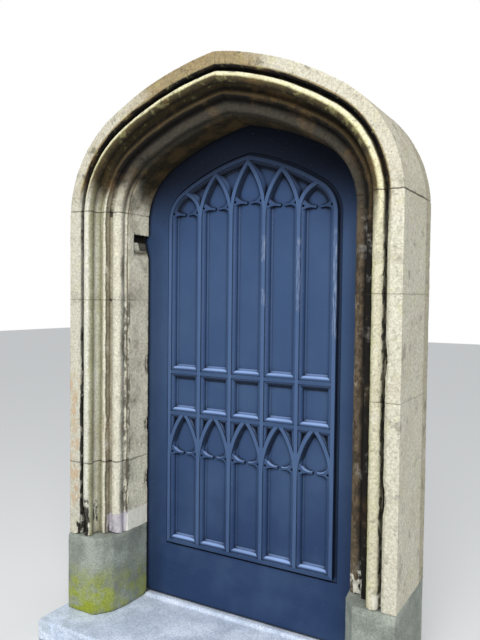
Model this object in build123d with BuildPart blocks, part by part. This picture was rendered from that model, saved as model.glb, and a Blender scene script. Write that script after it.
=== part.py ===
from build123d import *
import os
from math import acos, cos, degrees, radians, sin, sqrt

# Five-light panelled church door with blind tracery, hung in its moulded stone doorway.
# X runs to the right seen from outside, Y runs inwards, Z runs up from the underside of the step.
# Y = 0 is the face of the panels, X = 0 the middle of the doorway.

os.makedirs("parts", exist_ok=True)

# Step and sill
STEP_THICK = 90
STEP_FRONT = 460
STEP_BACK = 100
STEP_NOSE = 12
SILL_RISE = 12
SILL_FRONT = 30
SILL_BACK = 60
SILL_END_GAP = 3
FOOT_GAP = 8
LEAF_FOOT = STEP_THICK + SILL_RISE + FOOT_GAP

# Tracery moulding: a flat fillet, a small sunk quirk, an ovolo and a sloping base
PITCH = 160
FILLET = 16
PROUD = 24
QUIRK_DEEP = 3.5
QUIRK_WIDE = 2.5
OVOLO = 16
BASE_WIDE = 8
BASE_EDGE = 1
MOULD_HALF = FILLET / 2 + QUIRK_WIDE + OVOLO + BASE_WIDE
HEAD_SLOPE = 10
HEAD_HALF = FILLET / 2 + QUIRK_WIDE + HEAD_SLOPE
LAP = 12

# Four-centred arch, given for the middle line of the tracery's outer member
TRACERY_HALF = 2.5 * PITCH
SPRING = LEAF_FOOT + 1730
SMALL_R = 142
LARGE_R = 962
TURN = 57.3
SMALL_X = TRACERY_HALF - SMALL_R
LARGE_X = SMALL_X - (LARGE_R - SMALL_R) * cos(radians(TURN))
LARGE_Z = SPRING - (LARGE_R - SMALL_R) * sin(radians(TURN))

# Leaf, from the tracery outwards
CHANNEL = 16
FRAME_SHOW = 109
STOP_LAP = 25
EDGE_GAP = 7
FACE_GAP = 2
FRAME_PROUD = 5
LEAF_BACK = 45
BOUND_OUT = TRACERY_HALF + FILLET / 2
FRAME_IN = BOUND_OUT + CHANNEL
OPEN_HALF = FRAME_IN + FRAME_SHOW
LEAF_HALF = OPEN_HALF + STOP_LAP
REBATE_HALF = LEAF_HALF + EDGE_GAP
STOP_FACE = -FRAME_PROUD - FACE_GAP
TONGUE = 12
TONGUE_FRONT = 12
TONGUE_THICK = 12
V_JOINT = 4
HEAD_JOINT = SPRING - 60
TENON_THICK = 14
TENON_FRONT = 27
TENON_LONG = 85
TENON_SHOULDER = 30
HEAD_TENON_WIDE = 70

# Levels of the tracery
BOTTOM_LEVEL = LEAF_FOOT + 268.5
TRANSOM_LOW = LEAF_FOOT + 861
TRANSOM_HIGH = LEAF_FOOT + 1050
UPPER_JOINT = LEAF_FOOT + 1695
LOWER_CUSP = LEAF_FOOT + 680
LOWER_APEX = TRANSOM_LOW + 6
LOWER_RISE = 220
MIDDLE_CUSP = LEAF_FOOT + 1797
MIDDLE_RISE = 226
MIDDLE_DROP = 17
NEXT_CUSP = LEAF_FOOT + 1779
NEXT_RISE = 203
NEXT_DROP = 13
OUTER_CUSP = LEAF_FOOT + 1763
OUTER_RISE = 111
OUTER_DROP = 3

# Cusps: thin hooked points that slope down from the bars towards the panel
CUSP_PROUD = 22
CUSP_TIP_PROUD = 10
CUSP_TIP = 10
CUSP_SHOULDER = 37
CUSP_FOIL = 32
CUSP_SPREAD = 14
EYELET = 5
EYELET_DEEP = 16

# Stone doorway
REVEAL = 150
REVEAL_SPLAY = 3
JAMB_WIDE = 219
STEP_MARGIN = 28
STEP_HALF = OPEN_HALF + JAMB_WIDE + STEP_MARGIN
WALL_FACE = 299
STONE_BACK = 60
PLINTH_TOP = LEAF_FOOT + 320
PLINTH_PROUD = 8
PLINTH_WEATHER = 7
BED_JOINTS_LEFT = (LEAF_FOOT + 647, LEAF_FOOT + 1374)
BED_JOINTS_RIGHT = (LEAF_FOOT + 1042, LEAF_FOOT + 1411)
SPRINGER_BED = LEAF_FOOT + 1763
NOTCH_TOP = LEAF_FOOT + 1672
NOTCH_HIGH = 110
NOTCH_DEEP = 28
NOTCH_LONG = 105

# Inside of the leaf: ledges, strap hinges, bolts and pull
LEDGE_THICK = 28
LEDGE_HIGH = 140
LEDGE_HALF = 500
LEDGE_CHAMFER = 8
LEDGE_LOW = LEAF_FOOT + 330
LEDGE_MIDDLE = LEAF_FOOT + 985
LEDGE_HIGH_LEVEL = LEAF_FOOT + 1590
STRAP_THICK = 6
STRAP_WIDE = 46
STRAP_TIP = 26
STRAP_GAP = 28
PIN_R = 8
PIN_CLEAR = 0.08
EYE_WALL = 7
EYE_GAP = 0.4
PIN_STAND = 17
HINGE_X = -REBATE_HALF - 10
HINGE_Y = LEAF_BACK + LEDGE_THICK + STRAP_THICK / 2
PIN_TOP = 6
ARM_HIGH = 24
PLATE_THICK = 8
PLATE_WIDE = 70
PLATE_HIGH = 120
NAIL_R = 8
NAIL_HIGH = 4
NAIL_FIRST = 110
NAIL_PITCH = 115
BOLT_PLATE_THICK = 5
BOLT_PLATE_HIGH = 56
BOLT_R = 8
BOLT_CLEAR = 0.3
BOLT_TRAVEL = 60
BOLT_TAIL = 4
GUIDE_LONG = 16
GUIDE_WALL = 6
GUIDE_SET = 6
BOLT_PLATE_MARGIN = 5
KNOB_GAP = 2
KNOB_STEM_R = 5
KNOB_STAND = 30
KNOB_R = 10
BOLT_PLATE_LONG = 2 * (GUIDE_SET + GUIDE_LONG + KNOB_GAP + KNOB_STEM_R) + BOLT_TRAVEL
BOLT_END_X = LEAF_HALF - 10
BOLT_Y = LEAF_BACK + LEDGE_THICK + BOLT_PLATE_THICK + BOLT_R + 1.5
KEEPER_LONG = 22
KEEPER_CLEAR = 1
KEEPER_WALL = 6
KEEPER_SET = 20
KEEPER_FLANGE = 10
KEEPER_PLATE_THICK = 6
PULL_R = 7
PULL_HIGH = 150
PULL_STAND = 52
PULL_BEND = 20
ROSE_R = 19
ROSE_THICK = 5
PULL_LEVEL = LEAF_FOOT + 1200


# Points and faces of the arch

def small_point(half, turn):
    """Point on the tight arc of the arch line with this half width."""
    r = half - SMALL_X
    return (SMALL_X + r * cos(radians(turn)), SPRING + r * sin(radians(turn)))


def large_point(half, turn):
    """Point on the flat arc of the arch line with this half width."""
    r = LARGE_R + half - TRACERY_HALF
    return (LARGE_X + r * cos(radians(turn)), LARGE_Z + r * sin(radians(turn)))


def apex_turn(half):
    """Angle at which the flat arc meets the middle line."""
    return degrees(acos(-LARGE_X / (LARGE_R + half - TRACERY_HALF)))


def arch_height(half, x):
    """Height of an arch line above a point on its span."""
    if x > small_point(half, TURN)[0]:
        return SPRING + sqrt((half - SMALL_X) ** 2 - (x - SMALL_X) ** 2)
    return LARGE_Z + sqrt((LARGE_R + half - TRACERY_HALF) ** 2 - (x - LARGE_X) ** 2)


def arch_face(half, foot):
    """Arch-headed face standing on a level foot."""
    end = apex_turn(half)
    with BuildSketch() as face:
        with BuildLine():
            Line((half, foot), (half, SPRING))
            ThreePointArc((half, SPRING), small_point(half, TURN / 2), small_point(half, TURN))
            ThreePointArc(
                small_point(half, TURN),
                large_point(half, (TURN + end) / 2),
                large_point(half, end),
            )
            mirror(about=Plane.YZ)
            Line((-half, foot), (half, foot))
        make_face()
    return face.sketch


def arch_prism(half, foot, front, back):
    """Arch-headed block between two depths."""
    with BuildPart() as block:
        with BuildSketch(Plane.XZ.offset(-back)):
            add(arch_face(half, foot))
        extrude(amount=back - front)
    return block.part


def slab(x0, x1, y0, y1, z0, z1):
    """Square block between six faces."""
    with BuildPart() as block:
        with BuildSketch(Plane.XY.offset(z0)):
            with Locations(((x0 + x1) / 2, (y0 + y1) / 2)):
                Rectangle(x1 - x0, y1 - y0)
        extrude(amount=z1 - z0)
    return block.part


# Section of the tracery moulding, x across it and y out from the panel

def moulded_edge(side):
    """One moulded side of the section."""
    fillet = side * FILLET / 2
    quirk = fillet + side * QUIRK_WIDE
    ovolo = quirk + side * OVOLO
    base = ovolo + side * BASE_WIDE
    top = PROUD - QUIRK_DEEP
    low = top - OVOLO
    bend = OVOLO * sin(radians(45))
    Polyline((0, PROUD), (fillet, PROUD), (fillet, top), (quirk, top))
    ThreePointArc((quirk, top), (quirk + side * bend, low + bend), (ovolo, low))
    Polyline((ovolo, low), (base, BASE_EDGE), (base, 0), (0, 0))


def sloped_edge(side):
    """One plain sloping side of the section, for the light heads."""
    fillet = side * FILLET / 2
    quirk = fillet + side * QUIRK_WIDE
    base = quirk + side * HEAD_SLOPE
    top = PROUD - QUIRK_DEEP
    Polyline((0, PROUD), (fillet, PROUD), (fillet, top), (quirk, top))
    Polyline((quirk, top), (base, BASE_EDGE), (base, 0), (0, 0))


def square_edge(side):
    """One square side of the section, cut off at the fillet."""
    fillet = side * FILLET / 2
    Polyline((0, PROUD), (fillet, PROUD), (fillet, 0), (0, 0))


def moulding_face(left=moulded_edge, right=moulded_edge):
    """Whole section of a bar."""
    with BuildSketch() as face:
        with BuildLine():
            left(-1)
            right(1)
        make_face()
    return face.sketch


def across(x, z):
    """Plane that cuts an upright bar, x to the right and y outwards."""
    return Plane((x, 0, z), x_dir=(1, 0, 0), z_dir=(0, 0, -1))


def along(x, z):
    """Plane that cuts a level bar, x upwards and y outwards."""
    return Plane((x, 0, z), x_dir=(0, 0, 1), z_dir=(1, 0, 0))


def upright(x, foot, head, left=moulded_edge, right=moulded_edge):
    """Upright bar of the moulding."""
    with BuildPart() as bar:
        with BuildSketch(across(x, head)):
            add(moulding_face(left, right))
        extrude(amount=head - foot)
    return bar.part


def level(half, z, lower=moulded_edge):
    """Level bar of the moulding, from -half to half."""
    with BuildPart() as bar:
        with BuildSketch(along(-half, z)):
            add(moulding_face(lower, moulded_edge))
        extrude(amount=2 * half)
    return bar.part


def curved(x, z, radius, turn, side):
    """Bar of a light head that rises from x, z and bends towards the side given."""
    with BuildPart() as bar:
        with BuildSketch(across(x, z)):
            add(moulding_face(sloped_edge, sloped_edge))
        revolve(axis=Axis((x + side * radius, 0, z), (0, side, 0)), revolution_arc=turn)
    return bar.part


# Cusped light heads

def cusp_face(x, z, side, spread):
    """Outline of a cusp, from its root on the bar to the blunt point near the light's middle."""
    root = x + side * (PITCH - FILLET) / 2
    tip = x + side * (CUSP_TIP - spread / 8)
    belly = tip + side * 22
    under = z - spread / 3
    over = z + spread / 3
    shoulder = z - CUSP_SHOULDER - spread
    foil = z + CUSP_FOIL + spread
    with BuildSketch() as face:
        with BuildLine():
            ThreePointArc(
                (root, shoulder),
                (root - side * (11 + 0.7 * spread), under - 12),
                (belly, under - 2),
            )
            Polyline((belly, under - 2), (tip, under - 4), (tip, over + 1))
            ThreePointArc(
                (tip, over + 1),
                (root - side * (28 + 0.2 * spread), over + 8),
                (root - side * 13, foil - 6),
            )
            Polyline((root - side * 13, foil - 6), (root, foil), (root, shoulder))
        make_face()
    return face.sketch


def cusp(x, z, side):
    """One cusp, side -1 on the left of the light at x, with its point at height z."""
    root = x + side * (PITCH - FILLET) / 2
    tip = x + side * CUSP_TIP
    run = side * (root - tip)
    slope = Plane(
        (root, -CUSP_PROUD, z),
        x_dir=(0, 0, 1),
        z_dir=(side * (CUSP_PROUD - CUSP_TIP_PROUD), run, 0),
    )
    with BuildPart() as point:
        with BuildSketch(Plane.XZ):
            add(cusp_face(x, z, side, CUSP_SPREAD))
        with BuildSketch(Plane.XZ.offset(CUSP_PROUD)):
            add(cusp_face(x, z, side, 0))
        loft(ruled=True)
        split(bisect_by=slope, keep=Keep.TOP)
    return point.part


def eyelet(x, z, side):
    """Blind hole between a cusp and its bar."""
    with BuildPart() as hole:
        with BuildSketch(Plane.XZ.offset(PROUD - EYELET_DEEP)):
            with Locations((x + side * ((PITCH - FILLET) / 2 - 2 * EYELET), z + 3)):
                Circle(EYELET)
        extrude(amount=EYELET_DEEP)
    return hole.part


def half_bar(x, foot, head, side):
    """Half of an upright bar, on the side of the light at x."""
    bar = x + side * PITCH / 2
    with BuildPart() as piece:
        add(upright(bar, foot, head))
        add(slab(*sorted((x, bar)), -PROUD, 0, foot, head), mode=Mode.INTERSECT)
    return piece.part


def half_head(x, apex, rise, side, top):
    """One side of a light head: an arc from the bar up to the light's middle, cut off at the top."""
    half = PITCH / 2
    radius = (half ** 2 + rise ** 2) / (2 * half)
    turn = degrees(acos((radius - half) / (radius + HEAD_HALF))) + 1
    bar = x + side * half
    start = apex - rise
    with BuildPart() as piece:
        add(curved(bar, start, radius, turn, -side))
        add(slab(*sorted((x, bar)), -PROUD, 0, start, top), mode=Mode.INTERSECT)
    return piece.part


def finish(piece, name):
    """Name a finished piece and write its file."""
    piece.label = name
    export_step(piece, f"parts/{name}.step")


# Step with its raised sill

with BuildPart() as step:
    add(slab(-STEP_HALF, STEP_HALF, -STEP_FRONT, STEP_BACK, 0, STEP_THICK))
    nose = step.edges().filter_by(Axis.X).group_by(Axis.Z)[-1].sort_by(Axis.Y)[0]
    fillet(nose, STEP_NOSE)
    sill_half = OPEN_HALF - SILL_END_GAP
    add(slab(-sill_half, sill_half, -SILL_FRONT, SILL_BACK, STEP_THICK, STEP_THICK + SILL_RISE))
finish(step.part, "threshold_step")


# Stone section at the right jamb, in plan

def circle_point(centre, radius, turn):
    """Point on a circle in plan."""
    return (centre[0] + radius * cos(radians(turn)), centre[1] + radius * sin(radians(turn)))


def jamb_face():
    """Moulded section of the doorway."""
    roll = (OPEN_HALF + 38, -REVEAL - 32)
    roll_r = 28
    bead = (OPEN_HALF + 79, -REVEAL - 65)
    bead_r = 18
    shaft = (OPEN_HALF + 126, -WALL_FACE + 24)
    shaft_r = 24
    slot = OPEN_HALF + 151
    band = slot + 8
    outer = OPEN_HALF + JAMB_WIDE
    roll_in, roll_out = circle_point(roll, roll_r, 130), circle_point(roll, roll_r, 330)
    bead_in, bead_out = circle_point(bead, bead_r, 120), circle_point(bead, bead_r, 335)
    shaft_in, shaft_out = circle_point(shaft, shaft_r, 160), circle_point(shaft, shaft_r, 355)
    hollow = ((bead_out[0] + shaft_in[0]) / 2 + 13, (bead_out[1] + shaft_in[1]) / 2 + 2)
    with BuildSketch() as face:
        with BuildLine():
            Polyline((OPEN_HALF, STOP_FACE), (OPEN_HALF + REVEAL_SPLAY, -REVEAL), roll_in)
            ThreePointArc(roll_in, circle_point(roll, roll_r, 230), roll_out)
            Polyline(roll_out, (bead_in[0] - 1, bead_in[1] + 10), bead_in)
            ThreePointArc(bead_in, circle_point(bead, bead_r, 227), bead_out)
            ThreePointArc(bead_out, hollow, shaft_in)
            ThreePointArc(shaft_in, circle_point(shaft, shaft_r, 257), shaft_out)
            Polyline(
                shaft_out,
                (slot, -WALL_FACE + 41),
                (band, -WALL_FACE + 41),
                (band, -WALL_FACE + 8),
                (band + 12, -WALL_FACE),
                (outer, -WALL_FACE),
                (outer, STONE_BACK),
                (REBATE_HALF, STONE_BACK),
                (REBATE_HALF, STOP_FACE),
                (OPEN_HALF, STOP_FACE),
            )
        make_face()
    return face.sketch


with BuildPart() as jamb:
    with BuildSketch(Plane.XY.offset(PLINTH_TOP)):
        add(jamb_face())
    extrude(amount=SPRING - PLINTH_TOP)

with BuildPart() as tight_arch:
    with BuildSketch(Plane.XY.offset(SPRING)):
        add(jamb_face())
    revolve(axis=Axis((SMALL_X, 0, SPRING), (0, -1, 0)), revolution_arc=TURN)

radial = (cos(radians(TURN)), 0, sin(radians(TURN)))
outer_half = OPEN_HALF + JAMB_WIDE + 1
with BuildPart() as arch_stone:
    with BuildSketch(Plane((LARGE_X, 0, LARGE_Z), x_dir=radial, z_dir=(-radial[2], 0, radial[0]))):
        with Locations((LARGE_R - TRACERY_HALF, 0)):
            add(jamb_face())
    revolve(
        axis=Axis((LARGE_X, 0, LARGE_Z), (0, -1, 0)),
        revolution_arc=apex_turn(OPEN_HALF + JAMB_WIDE) - TURN + 1,
    )
    split(bisect_by=Plane.YZ, keep=Keep.TOP)
finish(arch_stone.part, "arch_stone_right")
with BuildPart() as arch_stone_left:
    mirror(arch_stone.part, about=Plane.YZ)
finish(arch_stone_left.part, "arch_stone_left")

with BuildPart() as springer:
    add(tight_arch.part)
    split(bisect_by=Plane.XY.offset(SPRINGER_BED), keep=Keep.TOP)
finish(springer.part, "springer_right")
with BuildPart() as springer_left:
    mirror(springer.part, about=Plane.YZ)
finish(springer_left.part, "springer_left")


# Jamb stones between their beds; the beds differ on the two sides

def jamb_stone(foot, head):
    """Right-hand jamb stone between two beds."""
    with BuildPart() as stone:
        add(jamb.part)
        if head > SPRING:
            add(tight_arch.part)
        add(slab(0, outer_half, -WALL_FACE - 1, STONE_BACK + 1, foot, head), mode=Mode.INTERSECT)
    return stone.part


right_beds = (PLINTH_TOP, *BED_JOINTS_RIGHT, SPRINGER_BED)
for number, (foot, head) in enumerate(zip(right_beds, right_beds[1:]), start=1):
    finish(jamb_stone(foot, head), f"jamb_stone_right_{number}")

left_beds = (PLINTH_TOP, *BED_JOINTS_LEFT, SPRINGER_BED)
for number, (foot, head) in enumerate(zip(left_beds, left_beds[1:]), start=1):
    with BuildPart() as left_stone:
        mirror(jamb_stone(foot, head), about=Plane.YZ)
        if foot < NOTCH_TOP < head:
            # Reveal cut back under a square shoulder
            with BuildSketch(Plane.XZ.offset(-STOP_FACE)):
                with BuildLine():
                    Polyline(
                        (-OPEN_HALF + 1, NOTCH_TOP - NOTCH_HIGH),
                        (-OPEN_HALF + 1, NOTCH_TOP),
                        (-OPEN_HALF - NOTCH_DEEP, NOTCH_TOP),
                        close=True,
                    )
                make_face()
            extrude(amount=NOTCH_LONG, mode=Mode.SUBTRACT)
    finish(left_stone.part, f"jamb_stone_left_{number}")


# Plinth blocks, on which the mouldings stop

plinth_front = -WALL_FACE - PLINTH_PROUD
outer = OPEN_HALF + JAMB_WIDE
with BuildPart() as plinth:
    with BuildSketch(Plane.XY.offset(STEP_THICK)):
        with BuildLine():
            Polyline(
                (OPEN_HALF, STOP_FACE),
                (OPEN_HALF - 2, -REVEAL),
                (OPEN_HALF + 12, -REVEAL - 85),
                (OPEN_HALF + 62, plinth_front),
                (outer, plinth_front),
                (outer, STONE_BACK),
                (REBATE_HALF, STONE_BACK),
                (REBATE_HALF, STOP_FACE),
                close=True,
            )
        make_face()
    extrude(amount=PLINTH_TOP - STEP_THICK)
    top_edges = plinth.faces().sort_by(Axis.Z)[-1].edges()
    front_edges = top_edges.filter_by(lambda e: e.center().Y < -REVEAL and e.center().X < outer - 1)
    chamfer(front_edges, PLINTH_WEATHER)
finish(plinth.part, "plinth_right")
with BuildPart() as plinth_left:
    mirror(plinth.part, about=Plane.YZ)
finish(plinth_left.part, "plinth_left")


# Frame of the leaf: stiles, foot rail and the two arched head pieces

FIELD_FOOT = BOTTOM_LEVEL - FILLET / 2 - CHANNEL
tongue = arch_prism(
    FRAME_IN + TONGUE, FIELD_FOOT - TONGUE, TONGUE_FRONT, TONGUE_FRONT + TONGUE_THICK
)
tenon_back = TENON_FRONT + TENON_THICK
rail_tenon = slab(
    FRAME_IN,
    FRAME_IN + TENON_LONG,
    TENON_FRONT,
    tenon_back,
    LEAF_FOOT + TENON_SHOULDER,
    FIELD_FOOT - TENON_SHOULDER,
)
head_tenon = slab(
    FRAME_IN + TENON_SHOULDER,
    FRAME_IN + TENON_SHOULDER + HEAD_TENON_WIDE,
    TENON_FRONT,
    tenon_back,
    HEAD_JOINT - TENON_LONG,
    HEAD_JOINT,
)

with BuildPart() as stile:
    add(slab(FRAME_IN, LEAF_HALF, -FRAME_PROUD, LEAF_BACK, LEAF_FOOT, HEAD_JOINT))
    add(tongue, mode=Mode.SUBTRACT)
    add(rail_tenon, mode=Mode.SUBTRACT)
    add(head_tenon, mode=Mode.SUBTRACT)
finish(stile.part, "stile_closing")
with BuildPart() as hinge_stile:
    mirror(stile.part, about=Plane.YZ)
finish(hinge_stile.part, "stile_hinge")

with BuildPart() as rail:
    add(slab(-FRAME_IN, FRAME_IN, -FRAME_PROUD, LEAF_BACK, LEAF_FOOT, FIELD_FOOT))
    add(tongue, mode=Mode.SUBTRACT)
    add(rail_tenon)
    mirror(rail_tenon, about=Plane.YZ)
finish(rail.part, "foot_rail")

with BuildPart() as head:
    add(arch_prism(LEAF_HALF, HEAD_JOINT, -FRAME_PROUD, LEAF_BACK))
    add(arch_prism(FRAME_IN, FIELD_FOOT, -FRAME_PROUD, LEAF_BACK), mode=Mode.SUBTRACT)
    add(tongue, mode=Mode.SUBTRACT)
    split(bisect_by=Plane.YZ, keep=Keep.TOP)
    add(head_tenon)
finish(head.part, "leaf_head_right")
with BuildPart() as head_left:
    mirror(head.part, about=Plane.YZ)
finish(head_left.part, "leaf_head_left")


# Five upright boards behind the tracery, tongued into the frame and V-jointed at the back

field = arch_prism(FRAME_IN, FIELD_FOOT, 0, LEAF_BACK)
lights = [-2 * PITCH, -PITCH, 0, PITCH, 2 * PITCH]
bars = [-1.5 * PITCH, -0.5 * PITCH, 0.5 * PITCH, 1.5 * PITCH]
board_top = arch_height(FRAME_IN + TONGUE, 0) + 1
for number, x in enumerate(lights, start=1):
    low = x - PITCH / 2 if number > 1 else -FRAME_IN - TONGUE
    high = x + PITCH / 2 if number < len(lights) else FRAME_IN + TONGUE
    with BuildPart() as board:
        add(field)
        add(tongue)
        add(slab(low, high, 0, LEAF_BACK, FIELD_FOOT - TONGUE, board_top), mode=Mode.INTERSECT)
        for bar in bars:
            if low <= bar <= high:
                with BuildSketch(Plane.XY.offset(FIELD_FOOT - TONGUE)):
                    with Locations((bar, LEAF_BACK)):
                        Rectangle(V_JOINT * sqrt(2), V_JOINT * sqrt(2), rotation=45)
                extrude(amount=board_top - FIELD_FOOT + TONGUE, mode=Mode.SUBTRACT)
    finish(board.part, f"panel_board_{number}")


# Outer member of the tracery, square outside and moulded inside

corner = Plane((BOUND_OUT, 0, BOTTOM_LEVEL - FILLET / 2), z_dir=(1, 0, 1))
with BuildPart() as side_member:
    add(upright(TRACERY_HALF, BOTTOM_LEVEL - FILLET, UPPER_JOINT, moulded_edge, square_edge))
    split(bisect_by=corner, keep=Keep.TOP)
    add(eyelet(lights[-1], LOWER_CUSP, 1), mode=Mode.SUBTRACT)
finish(side_member.part, "tracery_side_right")
with BuildPart() as side_member_left:
    mirror(side_member.part, about=Plane.YZ)
finish(side_member_left.part, "tracery_side_left")

with BuildPart() as foot_member:
    add(level(BOUND_OUT, BOTTOM_LEVEL, square_edge))
    split(bisect_by=corner, keep=Keep.BOTTOM)
    split(bisect_by=Plane((-BOUND_OUT, 0, BOTTOM_LEVEL - FILLET / 2), z_dir=(-1, 0, 1)), keep=Keep.BOTTOM)
finish(foot_member.part, "tracery_foot")

with BuildPart() as arch_member:
    add(upright(TRACERY_HALF, UPPER_JOINT, SPRING, moulded_edge, square_edge))
    with BuildSketch(across(TRACERY_HALF, SPRING)):
        add(moulding_face(moulded_edge, square_edge))
    revolve(axis=Axis((SMALL_X, 0, SPRING), (0, -1, 0)), revolution_arc=TURN)
    with BuildSketch(Plane((LARGE_X, 0, LARGE_Z), x_dir=radial, z_dir=(radial[2], 0, -radial[0]))):
        with Locations((LARGE_R, 0)):
            add(moulding_face(moulded_edge, square_edge))
    revolve(
        axis=Axis((LARGE_X, 0, LARGE_Z), (0, -1, 0)),
        revolution_arc=apex_turn(TRACERY_HALF + MOULD_HALF) - TURN + 1,
    )
    split(bisect_by=Plane.YZ, keep=Keep.TOP)
with BuildPart() as arch_member_right:
    add(cusp(lights[-1], OUTER_CUSP, 1))
    add(arch_prism(TRACERY_HALF, UPPER_JOINT, -PROUD, 0), mode=Mode.INTERSECT)
    add(arch_member.part)
    add(eyelet(lights[-1], OUTER_CUSP, 1), mode=Mode.SUBTRACT)
finish(arch_member_right.part, "tracery_arch_right")
with BuildPart() as arch_member_left:
    mirror(arch_member_right.part, about=Plane.YZ)
finish(arch_member_left.part, "tracery_arch_left")


# Mullions pass in front at each crossing, transoms behind, halved and scribed together

halving = slab(-BOUND_OUT, BOUND_OUT, -LAP, 0, 0, SPRING)
raw_transoms = []
for z in (TRANSOM_LOW, TRANSOM_HIGH):
    with BuildPart() as raw_transom:
        add(level(TRACERY_HALF, z))
        add(side_member.part, mode=Mode.SUBTRACT)
        add(side_member_left.part, mode=Mode.SUBTRACT)
    raw_transoms.append(raw_transom.part)

mullions = []
for number, x in enumerate(bars, start=1):
    with BuildPart() as mullion:
        add(upright(x, BOTTOM_LEVEL, UPPER_JOINT))
        add(foot_member.part, mode=Mode.SUBTRACT)
        for transom in raw_transoms:
            with BuildPart(mode=Mode.PRIVATE) as lower_half:
                add(transom)
                add(halving, mode=Mode.INTERSECT)
            add(lower_half.part, mode=Mode.SUBTRACT)
        for side in (-1, 1):
            add(eyelet(x - side * PITCH / 2, LOWER_CUSP, side), mode=Mode.SUBTRACT)
    mullions.append(mullion.part)
    finish(mullion.part, f"mullion_{number}")

for name, raw in zip(("lower", "upper"), raw_transoms):
    with BuildPart() as transom_bar:
        add(raw)
        for mullion_bar in mullions:
            add(mullion_bar, mode=Mode.SUBTRACT)
    finish(transom_bar.part, f"transom_{name}")


# Cusped heads of the lower lights, scribed to the bars and the transom

with BuildPart() as lower_head:
    for side in (-1, 1):
        add(half_head(0, LOWER_APEX, LOWER_RISE, side, TRANSOM_LOW))
        add(cusp(0, LOWER_CUSP, side))
        add(eyelet(0, LOWER_CUSP, side), mode=Mode.SUBTRACT)
    for side in (-1, 1):
        add(upright(side * PITCH / 2, BOTTOM_LEVEL, TRANSOM_LOW), mode=Mode.SUBTRACT)
    add(level(PITCH, TRANSOM_LOW), mode=Mode.SUBTRACT)
for number, x in enumerate(lights, start=1):
    with BuildPart() as placed_head:
        with Locations((x, 0, 0)):
            add(lower_head.part)
    finish(placed_head.part, f"light_head_lower_{number}")


# Cusped heads of the upper lights, scribed to the arched outer member

upper_field = arch_prism(TRACERY_HALF, UPPER_JOINT, -PROUD, 0)
for number, drop, rise, cusp_level, sides in (
    (0, MIDDLE_DROP, MIDDLE_RISE, MIDDLE_CUSP, (1,)),
    (1, NEXT_DROP, NEXT_RISE, NEXT_CUSP, (-1, 1)),
    (2, OUTER_DROP, OUTER_RISE, OUTER_CUSP, (-1,)),
):
    x = number * PITCH
    apex = arch_height(TRACERY_HALF, x) - drop
    with BuildPart() as upper_head:
        for side in sides:
            add(half_bar(x, UPPER_JOINT, cusp_level, side))
            add(half_head(x, apex, rise, side, apex + PITCH))
            add(cusp(x, cusp_level, side))
            add(eyelet(x, cusp_level, side), mode=Mode.SUBTRACT)
        add(arch_member.part, mode=Mode.SUBTRACT)
        add(upper_field, mode=Mode.INTERSECT)
        if number == 0:
            mirror(about=Plane.YZ)
    finish(upper_head.part, f"light_head_upper_{3 + number}")
    if number > 0:
        with BuildPart() as mirrored_head:
            mirror(upper_head.part, about=Plane.YZ)
        finish(mirrored_head.part, f"light_head_upper_{3 - number}")


# Ledges across the inside

ledge_back = LEAF_BACK + LEDGE_THICK
for name, z in (("lower", LEDGE_LOW), ("middle", LEDGE_MIDDLE), ("upper", LEDGE_HIGH_LEVEL)):
    with BuildPart() as ledge:
        add(
            slab(
                -LEDGE_HALF,
                LEDGE_HALF,
                LEAF_BACK,
                ledge_back,
                z - LEDGE_HIGH / 2,
                z + LEDGE_HIGH / 2,
            )
        )
        chamfer(ledge.faces().sort_by(Axis.Y)[-1].edges(), LEDGE_CHAMFER)
    finish(ledge.part, f"ledge_{name}")


# Strap hinges on the ledges, stopping short of the bolts and turning on pintles on the jamb

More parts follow.
